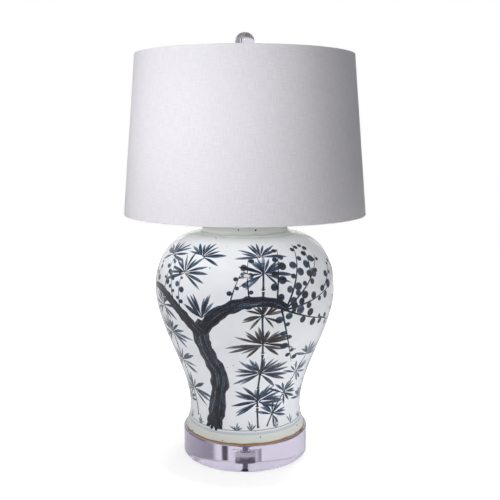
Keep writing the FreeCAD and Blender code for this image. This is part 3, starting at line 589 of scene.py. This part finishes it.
def bud_twig(turn, height, heading, length, bend, buds, size, warmth=0.35):
    """A thin twig with buds on both sides by turns, the biggest near its foot."""
    line = walk(turn, height, heading, length, bend, 16)
    stem = [(t, h, size * (0.29 - 0.013 * k)) for k, (t, h, _) in enumerate(line)]
    brush(stem, ink=0.9, warmth=warmth, dry=0.2)
    for k in range(buds):
        t, h, along = line[min(16, round((k + 1.2) * 16 / (buds + 0.6)))]
        radius = size * vary(0.62, 1.3) * (1.1 - 0.35 * k / buds)
        side = 1 if k % 2 else -1
        at, up, _ = walk(t, h, along + side * vary(62, 100), radius + 0.7, 0, 1)[-1]
        bud(at, up, radius, ink=vary(0.72, 0.92), warmth=warmth, dry=0.2)


# %% [markdown]
# ## The painting's layout
# On the front a plum rises left of the middle and throws one branch over to the right, where its twigs fan
# out with buds. Bamboo stands behind it and at both sides. The back has a second, simpler plum between
# bamboo, so that the jar is covered all round.

# %% Front of the jar
culm([(13, 26), (11.5, 90), (12.5, 160), (10.5, 240), (12, 322)])
for turn, height, reach, leaves, warm in (
    (12.5, 74, 54, 20, 0.1), (12, 130, 55, 19, 0.3), (11.5, 188, 56, 19, 0.8), (11, 238, 42, 13, 0.85),
):
    bamboo_fan(turn, height, reach, leaves, warmth=warm)
bamboo_fan(12, 304, 48, 16, warmth=0.1, flat=0.62)
bamboo_fan(11, 332, 42, 11, low=4, high=176, flat=0.7, warmth=0.1)

culm([(22, 27), (32, 62), (43, 100), (53, 148)], node_every=26, half=1.5, warmth=0.05)
low_fans = [(28, 47, 33, 11, -70, 165), (38, 84, 36, 11, -80, 150), (47, 120, 34, 9, -60, 160)]
for fan in low_fans + [(54, 152, 38, 10, 5, 165)]:
    bamboo_fan(*fan, flat=0.75, warmth=0.05)

culm([(-55, 34), (-59, 110), (-56, 190), (-60, 262)], node_every=38, half=1.6, warmth=0.05)
for fan in ((-56, 84, 44, 14), (-59, 138, 46, 14), (-57, 194, 48, 14), (-60, 240, 42, 12)):
    bamboo_fan(*fan, flat=0.66, warmth=0.1)

trunk = [(-33, 24, 12.5), (-30, 44, 14.5), (-25, 84, 13.5), (-21, 122, 15), (-26, 160, 16.5)]
limb(trunk + [(-29, 196, 15.5), (-25, 226, 12)], streaks=16)
for side, foot in ((-41, 22), (-35, 19), (-29, 18), (-23, 22)):
    limb([(side, foot, 1.8), ((side - 31) / 2 + 0.5, 32, 4.8), (-30, 52, 5)], streaks=1)
right = [(-28, 206, 12), (-17, 238, 10.8), (-4, 256, 9.6), (8, 261, 8.6), (19, 257, 7.4), (26, 247, 5.4)]
left = [(-29, 200, 11.5), (-38, 226, 9.8), (-48, 248, 8.4), (-57, 262, 7.2), (-67, 268, 5.6), (-78, 266, 3)]
limb(right, streaks=9)
limb(left, streaks=6)
bamboo_fan(-26, 232, 40, 11, low=30, high=152, flat=1.0, warmth=0.15)

# %% Plum twigs on the front
TWIGS = (
    (25, 249, 62, 112, 12, 9, 6.6), (25, 248, 34, 116, 16, 9, 6.4), (25, 246, 6, 110, 14, 8, 6.2),
    (24, 246, -24, 106, 14, 8, 6.2), (22, 247, -74, 108, 8, 8, 6.2), (19, 256, 86, 92, -10, 8, 5.8),
    (3, 262, 100, 66, -16, 5, 5.0), (-9, 250, 80, 60, -16, 5, 5.0), (44, 290, 70, 64, 12, 6, 5.4),
    (57, 272, 36, 60, 14, 5, 5.2), (53, 224, -24, 60, 12, 5, 5.2), (-48, 256, 112, 62, -24, 6, 4.2),
    (-58, 268, 76, 60, 20, 6, 4.2), (-42, 240, 98, 64, -14, 6, 4.2), (-70, 268, 100, 64, -30, 6, 4.2),
)
for twig in TWIGS:
    bud_twig(*twig, warmth=0.1 if twig[0] < -20 else 0.3)
for fan in ((-40, 300, 45, 13, -30, 200), (-30, 330, 42, 11, -10, 160), (-60, 326, 42, 12, -10, 200)):
    bamboo_fan(*fan, flat=0.75, warmth=0.05)

# %% Sides and back of the jar
for turn, top, reach in ((84, 236, 42), (-92, 286, 44), (-124, 232, 42), (118, 292, 44)):
    culm([(turn, 30), (turn - 2, 100), (turn + 1, 170), (turn, top)], node_every=36, half=1.7, warmth=0.1)
    for k, height in enumerate(range(78, top + 20, 52)):
        bamboo_fan(turn + (-1) ** k, height, reach + 3 * (k % 2), 14, flat=0.62, warmth=vary(0, 0.7))
trunk = [(152, 24, 10.5), (150, 60, 11), (144, 110, 10.5), (146, 160, 11.5), (150, 200, 10), (144, 232, 8.5)]
limb(trunk, streaks=12)
limb([(146, 224, 8), (134, 250, 7), (120, 262, 5.4), (106, 262, 4)], streaks=5)
limb([(148, 214, 7.5), (155, 240, 6), (157, 262, 4.6), (156, 280, 3)], streaks=4)
limb([(-150, 26, 6), (-148, 70, 6.4), (-152, 120, 5.8), (-148, 180, 5), (-154, 232, 4)], streaks=5)
for twig in (
    (124, 260, 78, 84, 14, 7), (112, 262, 96, 78, -24, 7), (106, 262, 150, 60, -20, 5),
    (134, 250, 86, 90, -10, 8), (156, 266, 96, 74, 12, 6), (-152, 236, 100, 76, -20, 6),
    (-152, 228, 64, 84, 14, 7), (-150, 200, 40, 56, 22, 5), (-152, 150, 30, 44, 22, 4),
):
    bud_twig(*twig, size=5.2)
culm([(-173, 92), (-174, 160), (-173, 230), (-174, 300)], node_every=36, half=1.9, warmth=0.1)
back_fans = [(-173, 122, 25, 13), (-174, 176, 31, 14), (-173, 232, 36, 15), (-174, 284, 36, 14)]
for fan in back_fans + [(-173, 326, 30, 11)]:
    bamboo_fan(*fan, flat=0.7, warmth=vary(0, 0.7))
fillers = [(-100, 330), (-130, 300), (90, 300), (150, 90), (-154, 74), (-72, 56), (70, 60), (104, 66)]
for turn, height in fillers:
    bamboo_fan(turn, height, 32, 9, low=5, high=175, flat=0.8, warmth=0.1)

# %% Grass at the foot
for turn in (-84, -70, -50, -8, 6, 32, 52, 70, 98, 132, 158, -104, -136, -162):
    blades = hand.randint(3, 5)
    for k in range(blades):
        aside = k - (blades - 1) / 2
        heading, length = 90 - 21 * aside + vary(-5, 5), vary(10, 20) / (1 + 0.2 * abs(aside))
        bend = -12 * aside + vary(-6, 6)
        leaf(turn + 0.4 * aside, 22, heading, length, 1.3, bend, ink=0.78, warmth=0.1, fade=0.4)
turns = [t for s in strokes for t, _, _ in s["places"]]
print("strokes", len(strokes), "from", round(min(turns)), "to", round(max(turns)), "degrees")

# %% [markdown]
# ## Cutting wall and strokes into triangles
# Mathutils can triangulate a flat sheet so that given shapes keep their edges. Each stroke is handed over as
# a chain of small four-sided shapes, because a chain never crosses itself at a tight bend. The unrolled
# sheet's two ends meet ten degrees beside the very back, so that the hole for the cord, which is there, isn't
# on its seam. The sheet is flat, so a degree on it is as wide as on a wall of one middle radius.

# %% Triangulate a wall
COLUMNS, SEAM, FLAT_R = 180, 170, 125.0
OUTLET_R, OUTLET_Z, OUTLET_CORNERS = 5.1, 74.0, 28
TOUCH_MM, GOLDEN = 1e-4, 0.618  # the golden share spreads the strokes' seeds evenly


def to_sheet(turn, height):
    """A place on the unrolled sheet, in millimetres."""
    return Vector((radians(turn) * FLAT_R, height))


def outlet_ring(wall):
    """The hole for the cord on one side of the wall, as (turn, height)."""
    heights = [h * 0.1 for h in range(600)]
    ring = []
    for k in range(OUTLET_CORNERS):
        x, z = (OUTLET_R * f(tau * k / OUTLET_CORNERS) for f in (cos, sin))
        height = min(heights, key=lambda h: abs(wall.at(h)[1] - OUTLET_Z - z))
        for _ in range(4):
            rise = wall.at(height + 0.5)[1] - wall.at(height - 0.5)[1]
            height += (OUTLET_Z + z - wall.at(height)[1]) / max(0.3, rise)
        ring.append((-180 - degrees(asin(x / wall.at(height)[0])), height))
    return ring


def wall_patch(bm, wall, painted):
    """Adds one side of the jar's wall to the bmesh, cut along the strokes and the outlet."""
    points = [to_sheet(SEAM - 360 + 360 * k / COLUMNS, h) for h in wall.rows() for k in range(COLUMNS + 1)]
    shapes, owner = [], []
    for number, stroke in enumerate(painted):
        first = len(points)
        line = stroke["places"]
        sides = [beside(line, k, share) for k in range(len(line)) for share in (-1, 1)]
        points += [to_sheet(turn if turn < SEAM else turn - 360, height) for turn, height in sides]
        for k in range(len(line) - 1):
            a = first + 2 * k
            xs = [point.x for point in points[a : a + 4]]
            if max(xs) - min(xs) < FLAT_R:  # else it would lie across the whole sheet
                shapes.append([a, a + 2, a + 3, a + 1])
                owner.append((number, k))
    ring = outlet_ring(wall)
    shapes.append(list(range(len(points), len(points) + len(ring))))
    owner.append((-1, 0))
    points += [to_sheet(*p) for p in reversed(ring)]
    flat, _, faces, _, _, origins = geometry.delaunay_2d_cdt(points, [], shapes, 0, TOUCH_MM, True)
    spots = [(degrees(p.x / FLAT_R), p.y) for p in flat]
    verts = [bm.verts.new(wall.place(*s)) for s in spots]
    if painted:
        exact = bm.verts.layers.float_vector["Wall normal"]
        for vert, s in zip(verts, spots):
            vert[exact] = wall.normal(*s)
    uv, ink = bm.loops.layers.uv["Brush"], bm.loops.layers.float_color["Ink"]
    for corners, found in zip(faces, origins):
        owners = [owner[f] for f in found]
        if (-1, 0) in owners:
            continue
        face = bm.faces.new([verts[c] for c in corners])
        if owners:
            paint(face, [spots[c] for c in corners], painted, owners, uv, ink)
        else:
            leave_white([face], ink)


def leave_white(faces, ink):
    """Takes the ink off faces, because a new layer starts full."""
    for loop in (loop for face in faces for loop in face.loops):
        loop[ink] = (0, 0, 0, 0)


def paint(face, spots, painted, owners, uv, ink):
    """Gives a face's corners the stroke's place along and across, and its ink."""
    number, k = max(owners)
    stroke, layers = painted[number], len({n for n, _ in owners})
    (t, h, w), (u, g, v) = stroke["places"][k], stroke["places"][k + 1]
    r = outside.at(h)[0]
    dx, dy = radians(u - t) * r, g - h
    size = hypot(dx, dy) or 1.0
    for loop, (turn, height) in zip(face.loops, spots):
        turn = turn + 360 if turn - t < -180 else turn
        x, y = radians(turn - t) * r, height - h
        along = min(1, max(0, (x * dx + y * dy) / size**2))
        across = max(-1, min(1, (y * dx - x * dy) / size / (w + (v - w) * along)))
        share = (k + along) / (len(stroke["places"]) - 1)
        dark = 1 - (1 - stroke["ink"] * (1 - stroke["fade"] * share**2)) ** min(layers, 3)
        loop[uv].uv = ((k + along) * size * MM, across)
        loop[ink] = (dark, stroke["warmth"], stroke["dry"], number * GOLDEN % 1)


# %% [markdown]
# ## Glazed porcelain
# The white is a porcelain body under a clear, slightly blue glaze that pools to a green-grey at the foot. The
# neck is tinted green-grey too, darkest in a narrow band in its corner just above the collar. The ink lies under
# the glaze, so all of it shines alike. Thin ink turns blue, thick ink nearly black. The bare rim under the foot
# fired to iron brown, and a few iron specks came through the glaze.
# The plain double line above the foot goes right round.

# %% Glaze and ink
glazed, tree, place = new_finish("porcelain with ink under a clear glaze")
height = node(tree, "SeparateXYZ", {0: place}).outputs["Z"]
laid = node(tree, "Attribute", attribute_name="Ink")
parts = node(tree, "SeparateColor", {0: laid})
spot = node(tree, "SeparateXYZ", {0: node(tree, "UVMap", uv_map="Brush")})

BRISTLE_SHARE, TRAIL_MM = 0.16, 14
run = node(tree, "Math", {0: spot.outputs["X"], 1: 1000 / TRAIL_MM}, operation="MULTIPLY")
track = node(tree, "Math", {0: spot.outputs["Y"], 1: 1 / BRISTLE_SHARE}, operation="MULTIPLY")
seed = node(tree, "Math", {0: laid.outputs["Alpha"], 1: 50.0}, operation="MULTIPLY")
trail = node(tree, "CombineXYZ", {0: run, 1: track, 2: seed})
bristles = node(tree, "TexNoise", {"Vector": trail, "Scale": 1.0, "Detail": 2.0})
parted = node(tree, "MapRange", span(bristles, 0.46, 0.7), interpolation_type="SMOOTHSTEP")
lost = node(tree, "Math", {0: parted, 1: parts.outputs["Blue"]}, operation="MULTIPLY")
inked = node(tree, "Math", {0: parts.outputs["Red"], 1: lost}, operation="SUBTRACT", use_clamp=True)
edge = node(tree, "Math", {0: spot.outputs["Y"]}, operation="ABSOLUTE")
thin_edge = node(tree, "MapRange", span(edge, 0.55, 1.0, 1.0, 0.72))
inked = node(tree, "Math", {0: inked, 1: thin_edge}, operation="MULTIPLY")
for size_mm, least, most in ((1.6, 0.84, 1.08), (9, 0.88, 1.06)):  # the ink's grains, then its pools
    cloud = node(tree, "TexNoise", sized(place, size_mm, 2.0))
    share = node(tree, "MapRange", span(cloud, *NOISE, least, most))
    inked = node(tree, "Math", {0: inked, 1: share}, operation="MULTIPLY", use_clamp=True)

blues = [(0.0, "#8195ad"), (0.5, "#4a5f7a"), (0.72, "#303c4c"), (0.95, "#191b21")]
browns = [(0.0, "#96908b"), (0.5, "#5a504c"), (0.72, "#3b3331"), (0.95, "#201b1a")]
cool, warm = (node(tree, "ValToRGB", {"Fac": inked}, stops=tones) for tones in (blues, browns))
cover = node(tree, "MapRange", span(inked, 0.0, 0.6), interpolation_type="SMOOTHSTEP")
pigment = node(tree, "Mix", {FACTOR: parts.outputs["Green"], A: cool, B: warm}, data_type="RGBA")
print("ink laid")

# %% Glaze colours and bands
FOOT_HEIGHTS, NECK_HEIGHTS = (0.047, 0.087), (0.380, 0.414)
CLOUD_MM, WOBBLE_MM, WOBBLE = 55, 24, 0.0016
cloud = node(tree, "TexNoise", sized(place, CLOUD_MM, 3.0))
white = node(tree, "ValToRGB", {"Fac": cloud}, stops=[(0.32, "#e4e7ea"), (0.5, "#e9ebf0"), (0.7, "#e4e6ec")])
wobble = node(tree, "TexNoise", sized(place, WOBBLE_MM, 3.0))
shift = node(tree, "MapRange", span(wobble, 0.0, 1.0, -WOBBLE, WOBBLE))
wavy = node(tree, "Math", {0: height, 1: shift}, operation="ADD")
low = node(tree, "MapRange", span(wavy, *FOOT_HEIGHTS))
CELADON, IRON, PALE_LINE, DARK_LINE = "#d2d4c7", "#a0703a", "#a9b5bd", "#3f4a58"
bands = [(0.0, IRON), (0.065, IRON), (0.09, CELADON, 0.75), (0.36, CELADON, 0.55)]
bands += [(0.385, PALE_LINE, 0.7), (0.47, PALE_LINE, 0.6), (0.49, CELADON, 0.25), (0.53, CELADON, 0.2)]
bands += [(0.545, DARK_LINE, 0.75), (0.562, DARK_LINE, 0.75), (0.58, CELADON, 0.15), (1.0, "#e9edec", 0.0)]
foot = node(tree, "ValToRGB", {"Fac": low}, stops=bands)
band = foot.outputs["Alpha"]
footed = node(tree, "Mix", {FACTOR: band, A: white, B: foot}, data_type="RGBA")
top = node(tree, "MapRange", span(wavy, *NECK_HEIGHTS))
# Green-grey over the neck, with a darker band in its corner just above the collar.
neck_tints = [(0.0, CELADON, 0.0), (0.2, "#b4beaf", 0.35), (0.3, "#98a292", 0.8)]
neck_tints += [(0.42, CELADON, 0.5), (1.0, "#c9d2c6", 0.7)]
neck = node(tree, "ValToRGB", {"Fac": top}, stops=neck_tints)
neck_tint = neck.outputs["Alpha"]
necked = node(tree, "Mix", {FACTOR: neck_tint, A: footed, B: neck}, data_type="RGBA")
print("stops at the foot", len(bands), "and at the neck", len(neck_tints))

# %% Iron specks
SPECK_CELL_MM = 9
specks = node(tree, "TexVoronoi", {"Vector": place, "Scale": 1000 / SPECK_CELL_MM})
chance = node(tree, "SeparateColor", {0: specks.outputs["Color"]})
banded = node(tree, "Math", {0: band, 1: neck_tint}, operation="MAXIMUM")
rare = node(tree, "MapRange", span(banded, 0.0, 0.3, 0.92, 0.5))
size = node(tree, "MapRange", span(chance.outputs["Red"], rare, 1.0, 0.0, 0.19))
fleck = node(tree, "Math", {0: specks.outputs["Distance"], 1: size}, operation="LESS_THAN")
flecked = node(tree, "Mix", {FACTOR: fleck, A: necked, B: "#4a3526"}, data_type="RGBA")
painted_white = node(tree, "Mix", {FACTOR: cover, A: flecked, B: pigment}, data_type="RGBA")
print("speck cells", SPECK_CELL_MM, "mm")

# %% Glaze surface
BARE_RIM, RIPPLE_MM = (0.0488, 0.0496), 16
ripple = node(tree, "TexNoise", sized(place, RIPPLE_MM, 2.0))
bare = node(tree, "MapRange", span(wavy, *BARE_RIM, 0.7, 0.0))
polish = node(tree, "MapRange", span(ripple, 0.0, 1.0, 0.06, 0.13))
rough = node(tree, "Math", {0: polish, 1: bare}, operation="MAXIMUM")
bump = node(tree, "Bump", {"Height": ripple, "Strength": 0.35, "Distance": 0.0005})
inputs = {"Base Color": painted_white, "Roughness": rough, "IOR": 1.5, "Normal": bump}
node(tree, "OutputMaterial", {"Surface": node(tree, "BsdfPrincipled", inputs)})
print("glaze nodes", len(tree.nodes))

# %% [markdown]
# ## The jar
# Both sides of the wall come from the triangulation. Lip, floor and foot ring are spun and join them ring to
# ring, and the outlet's two rims are bridged, so the jar is one closed shell. Every point of the wall lies
# exactly on the outline, so its shading normal is known exactly too; it is stored, and the glaze shows no
# facets. A round corner is given by its centre's radius and height and its own size.

# %% The jar
bm = bmesh.new()
bm.loops.layers.uv.new("Brush")
bm.loops.layers.float_color.new("Ink")
bm.verts.layers.float_vector.new("Wall normal")
LIP_ROUND, FLOOR_CORNER, FOOT_CORNER = (68.5, 410.5, 3.5), (81.2, 68, 8), (103.3, 48.2, 1.2)
ROD_GAP_R, FLOOR_TOP, FLOOR_LOW, RING_IN_R, RING_OUT_R, RING_LOW = 7, 60, 50, 91.5, 103.3, 47
lip = [LIP_OUT] + arc(*LIP_ROUND, 0, 180, 12)
base = [FLOOR_IN] + arc(*FLOOR_CORNER, 0, -90, 8) + [(ROD_GAP_R, FLOOR_TOP), (ROD_GAP_R, FLOOR_LOW)]
base += [(RING_IN_R, FLOOR_LOW), (RING_IN_R, RING_LOW), (RING_OUT_R, RING_LOW)] + arc(*FOOT_CORNER, -90, 0, 4)
ink = bm.loops.layers.float_color["Ink"]
spin(bm, lip, COLUMNS)
spin(bm, base, COLUMNS)
leave_white(bm.faces, ink)
wall_patch(bm, outside, strokes)
wall_patch(bm, inside, [])
bmesh.ops.remove_doubles(bm, verts=bm.verts, dist=SAME_PLACE)
rims = [e for e in bm.edges if e.is_boundary]
print("open edges before the outlet is bridged", len(rims))
leave_white(bmesh.ops.bridge_loops(bm, edges=rims)["faces"], ink)
jar = keep("painted_jar", bm, "lamp", ["porcelain_jar"], glazed)
exact = [0.0] * (3 * len(jar.data.vertices))
jar.data.attributes["Wall normal"].data.foreach_get("vector", exact)
jar.data.normals_split_custom_set_from_vertices(list(zip(exact[::3], exact[1::3], exact[2::3])))
jar.data.attributes.remove(jar.data.attributes["Wall normal"])
print("triangles", sum(len(p.vertices) - 2 for p in jar.data.polygons))

# %% [markdown]
# ## Linen shade
# The cover is plain-woven linen laminated to a stiff white sheet. Real threads are about 0.4 mm wide, too
# fine for the picture, so the weave is drawn with threads of 0.9 mm, and thick places in the yarn run along
# it. The cloth was cut as an arc, so its threads are upright at the front and lean towards the seam at the
# back.

# %% Linen
linen, tree, _ = new_finish("linen, plain weave")
cloth = node(tree, "UVMap", uv_map="Cloth")
THREAD_MM, SLUB_MM = 0.9, 16
along_warp = node(tree, "Mapping", {"Vector": cloth, "Scale": (1000 / THREAD_MM, 1000 / SLUB_MM, 1)})
along_weft = node(tree, "Mapping", {"Vector": cloth, "Scale": (1000 / SLUB_MM, 1000 / THREAD_MM, 1)})
warp = node(tree, "TexNoise", {"Vector": along_warp, "Scale": 1.0, "Detail": 2.0})
weft = node(tree, "TexNoise", {"Vector": along_weft, "Scale": 1.0, "Detail": 2.0})
weave = node(tree, "Math", {0: warp, 1: weft}, operation="ADD")
tone = node(tree, "MapRange", span(weave, 0.75, 1.25))
yarn = node(tree, "ValToRGB", {"Fac": tone}, stops=[(0.0, "#dedbe2"), (0.5, "#e3e1e7"), (1.0, "#e8e6eb")])
bump = node(tree, "Bump", {"Height": tone, "Strength": 0.5, "Distance": 0.0003})
inputs = {
    "Base Color": yarn, "Normal": bump, "Roughness": 0.9, "Sheen Weight": 0.08, "Specular IOR Level": 0.2
}
node(tree, "OutputMaterial", {"Surface": node(tree, "BsdfPrincipled", inputs)})
print("threads", THREAD_MM, "mm wide")

# %% [markdown]
# ## Shade cover
# The cover is a cone 0.6 mm thick, spun from two straight sides, and stands a little proud where its two ends
# overlap at the back. Rolled flat it is an arc, whose middle angle and radii follow from the cone's two
# diameters and its height. Each point's place on that arc is its place on the cloth, so the threads run as in
# the real cut.

# %% Shade cover
cover_low, cover_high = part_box("shade_cover")
BOTTOM_R, TOP_R, COVER_T = cover_high.x / MM, 180.4, 0.6
BOTTOM_Z, TOP_Z = cover_low.z / MM, cover_high.z / MM
SLANT = hypot(BOTTOM_R - TOP_R, TOP_Z - BOTTOM_Z)
LAP_HALF, LAP_RISE = radians(1.6), 0.0004
ROWS = 26


def cover_side(inset):
    """The cone's straight side, moved in from its outer face."""
    shares = [k / ROWS for k in range(ROWS + 1)]
    return [(BOTTOM_R + (TOP_R - BOTTOM_R) * s - inset, BOTTOM_Z + (TOP_Z - BOTTOM_Z) * s) for s in shares]


bm = bmesh.new()
spin(bm, cover_side(0) + cover_side(COVER_T)[::-1], steps=240, closed=True)
for v in bm.verts:
    if abs(atan2(v.co.x, v.co.y)) < LAP_HALF:
        v.co.xy *= 1 + LAP_RISE / v.co.xy.length
uv = bm.loops.layers.uv.new("Cloth")
lean = (BOTTOM_R - TOP_R) / SLANT
for face in bm.faces:
    middle = face.calc_center_median()
    turn = atan2(middle.x, -middle.y)
    for loop in face.loops:
        x, y, _ = loop.vert.co
        own = atan2(x, -y)
        own += tau * round((turn - own) / tau)
        far = hypot(x, y) / lean
        loop[uv].uv = (far * sin(own * lean), far * cos(own * lean))
cover = keep("linen_cover", bm, "shade", ["shade_cover"], linen)

# %% [markdown]
# ## Small parts
# The harp, the socket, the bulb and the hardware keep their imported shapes. Each gets the finish that its
# real part has. Metals share one builder, because plated and lacquered parts differ only in colour, gloss
# and the size of their marks.


# %% Metals
TARNISH_MM = 9


def metal(name, light, dark, rough, mark_mm, ring_mm=None):
    """A metal with cloudy tone, uneven gloss and fine marks, and with thread rings if it has any."""
    made, tree, place = new_finish(name)
    cloud = node(tree, "TexNoise", sized(place, TARNISH_MM, 4.0))
    tone = node(tree, "ValToRGB", {"Fac": cloud}, stops=[(0.35, dark), (0.62, light)])
    marks = node(tree, "TexNoise", sized(place, mark_mm, 3.0))
    gloss = node(tree, "MapRange", span(marks, *NOISE, rough * 0.7, rough * 1.5))
    relief, depth = marks, 0.00004
    if ring_mm:
        scale = 1000 / ring_mm * tau / WAVE_TURN
        rings = node(tree, "TexWave", {"Vector": place, "Scale": scale}, bands_direction="Z")
        relief, depth = rings.outputs["Fac"], ring_mm * 0.0004
    bump = node(tree, "Bump", {"Height": relief, "Strength": 0.7, "Distance": depth})
    inputs = {"Base Color": tone, "Metallic": 1.0, "Roughness": gloss, "Normal": bump}
    node(tree, "OutputMaterial", {"Surface": node(tree, "BsdfPrincipled", inputs)})
    return made


spun_brass = metal("brass, spun and lacquered", "#dcbc80", "#caa663", 0.2, 0.8)
rolled_brass = metal("brass, threads rolled in", "#d2ae6b", "#a9823f", 0.28, 0.8, ring_mm=3.6)
harp_brass = metal("brass plated wire", "#debf82", "#cba867", 0.16, 0.5)
zinc = metal("steel, zinc plated", "#c9ccd0", "#a3a7ad", 0.3, 0.6)
zinc_thread = metal("steel rod, threaded and zinc plated", "#c2c5ca", "#9a9ea5", 0.3, 0.6, ring_mm=1.0)
nickel = metal("steel, nickel plated", "#d0cdc8", "#b0aca6", 0.22, 0.5)
aluminium = metal("aluminium cap, threads rolled in", "#d8d9db", "#b9bbbe", 0.3, 0.7, ring_mm=3.6)
print("metals made")

# %% [markdown]
# ## Plastics, rubber, card and glass
# These finishes differ in colour, gloss and the size of their grain, so one builder makes them too. Card
# and foam have a fine grain, the bulb's inside coat a cloudy one.


# %% Moulded and coated finishes
def plain(name, light, dark, rough, grain_mm, relief=0.3, **more):
    """A non-metal with a grain that tints it, dulls it and stands up a little."""
    made, tree, place = new_finish(name)
    grain = node(tree, "TexNoise", sized(place, grain_mm, 4.0))
    tone = node(tree, "ValToRGB", {"Fac": grain}, stops=[(0.35, dark), (0.65, light)])
    gloss = node(tree, "MapRange", span(grain, *NOISE, rough * 0.85, min(1, rough * 1.2)))
    bump = node(tree, "Bump", {"Height": grain, "Strength": relief, "Distance": grain_mm * 0.00015})
    inputs = {"Base Color": tone, "Roughness": gloss, "Normal": bump} | more
    node(tree, "OutputMaterial", {"Surface": node(tree, "BsdfPrincipled", inputs)})
    return made


see_through = {"Transmission Weight": 0.6, "IOR": 1.5}
wire_pieces = ["top_ring", "bottom_ring", "spider_arms", "spider_washer"]
socket_brass = ["socket_cap", "socket_shell", "centre_contact", "switch_shaft"]
FINISHES = {
    plain("polyurethane bumper, clear", "#e4e4ea", "#d4d4dc", 0.35, 1.5, **see_through): ["bumper_pads"],
    plain("foam gasket, white", "#dcdcd8", "#c4c4c0", 0.85, 0.7): ["foot_gasket"],
    plain("rubber bushing, black", "#2a2a2b", "#1b1b1c", 0.6, 0.8): ["outlet_bushing"],
    plain("insulating card", "#b3a285", "#93836a", 0.9, 0.6): ["socket_lining"],
    plain("phenolic, moulded", "#1f1b1a", "#141110", 0.32, 2.0): ["socket_core", "switch_key"],
    plain("black glass insulator", "#17171a", "#0d0d10", 0.12, 3.0): ["bulb_insulator"],
    plain("bulb glass, frosted white inside", "#f4f4f2", "#efefec", 0.26, 3.0, 0.02): ["bulb_glass"],
    plain("styrene sheet, white", "#f0f0ef", "#e8e8e7", 0.42, 9.0, 0.1): ["shade_liner"],
    plain("steel wire, white enamel", "#ebebe8", "#dcdcd8", 0.35, 1.2): wire_pieces,
    linen: ["top_binding", "bottom_binding"],
    zinc: ["rod_washer", "lock_washer", "rod_nut"],
    zinc_thread: ["threaded_rod"],
    spun_brass: ["neck_cap", "cap_nut", "riser_tube", *socket_brass],
    rolled_brass: ["screw_shell"],
    harp_brass: ["harp_saddle", "harp", "left_sleeve", "right_sleeve", "harp_stud"],
    nickel: ["terminal_screws", "finial_cap"],
    aluminium: ["bulb_base", "bulb_tip"],
}
for material, names in FINISHES.items():
    for name in names:
        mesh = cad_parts[name].data
        mesh.materials.clear()
        mesh.materials.append(material)
print("nodes finished", sum(len(names) for names in FINISHES.values()))

# %% Finish
low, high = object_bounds()
print("visual box", [round(v, 4) for v in high - low])
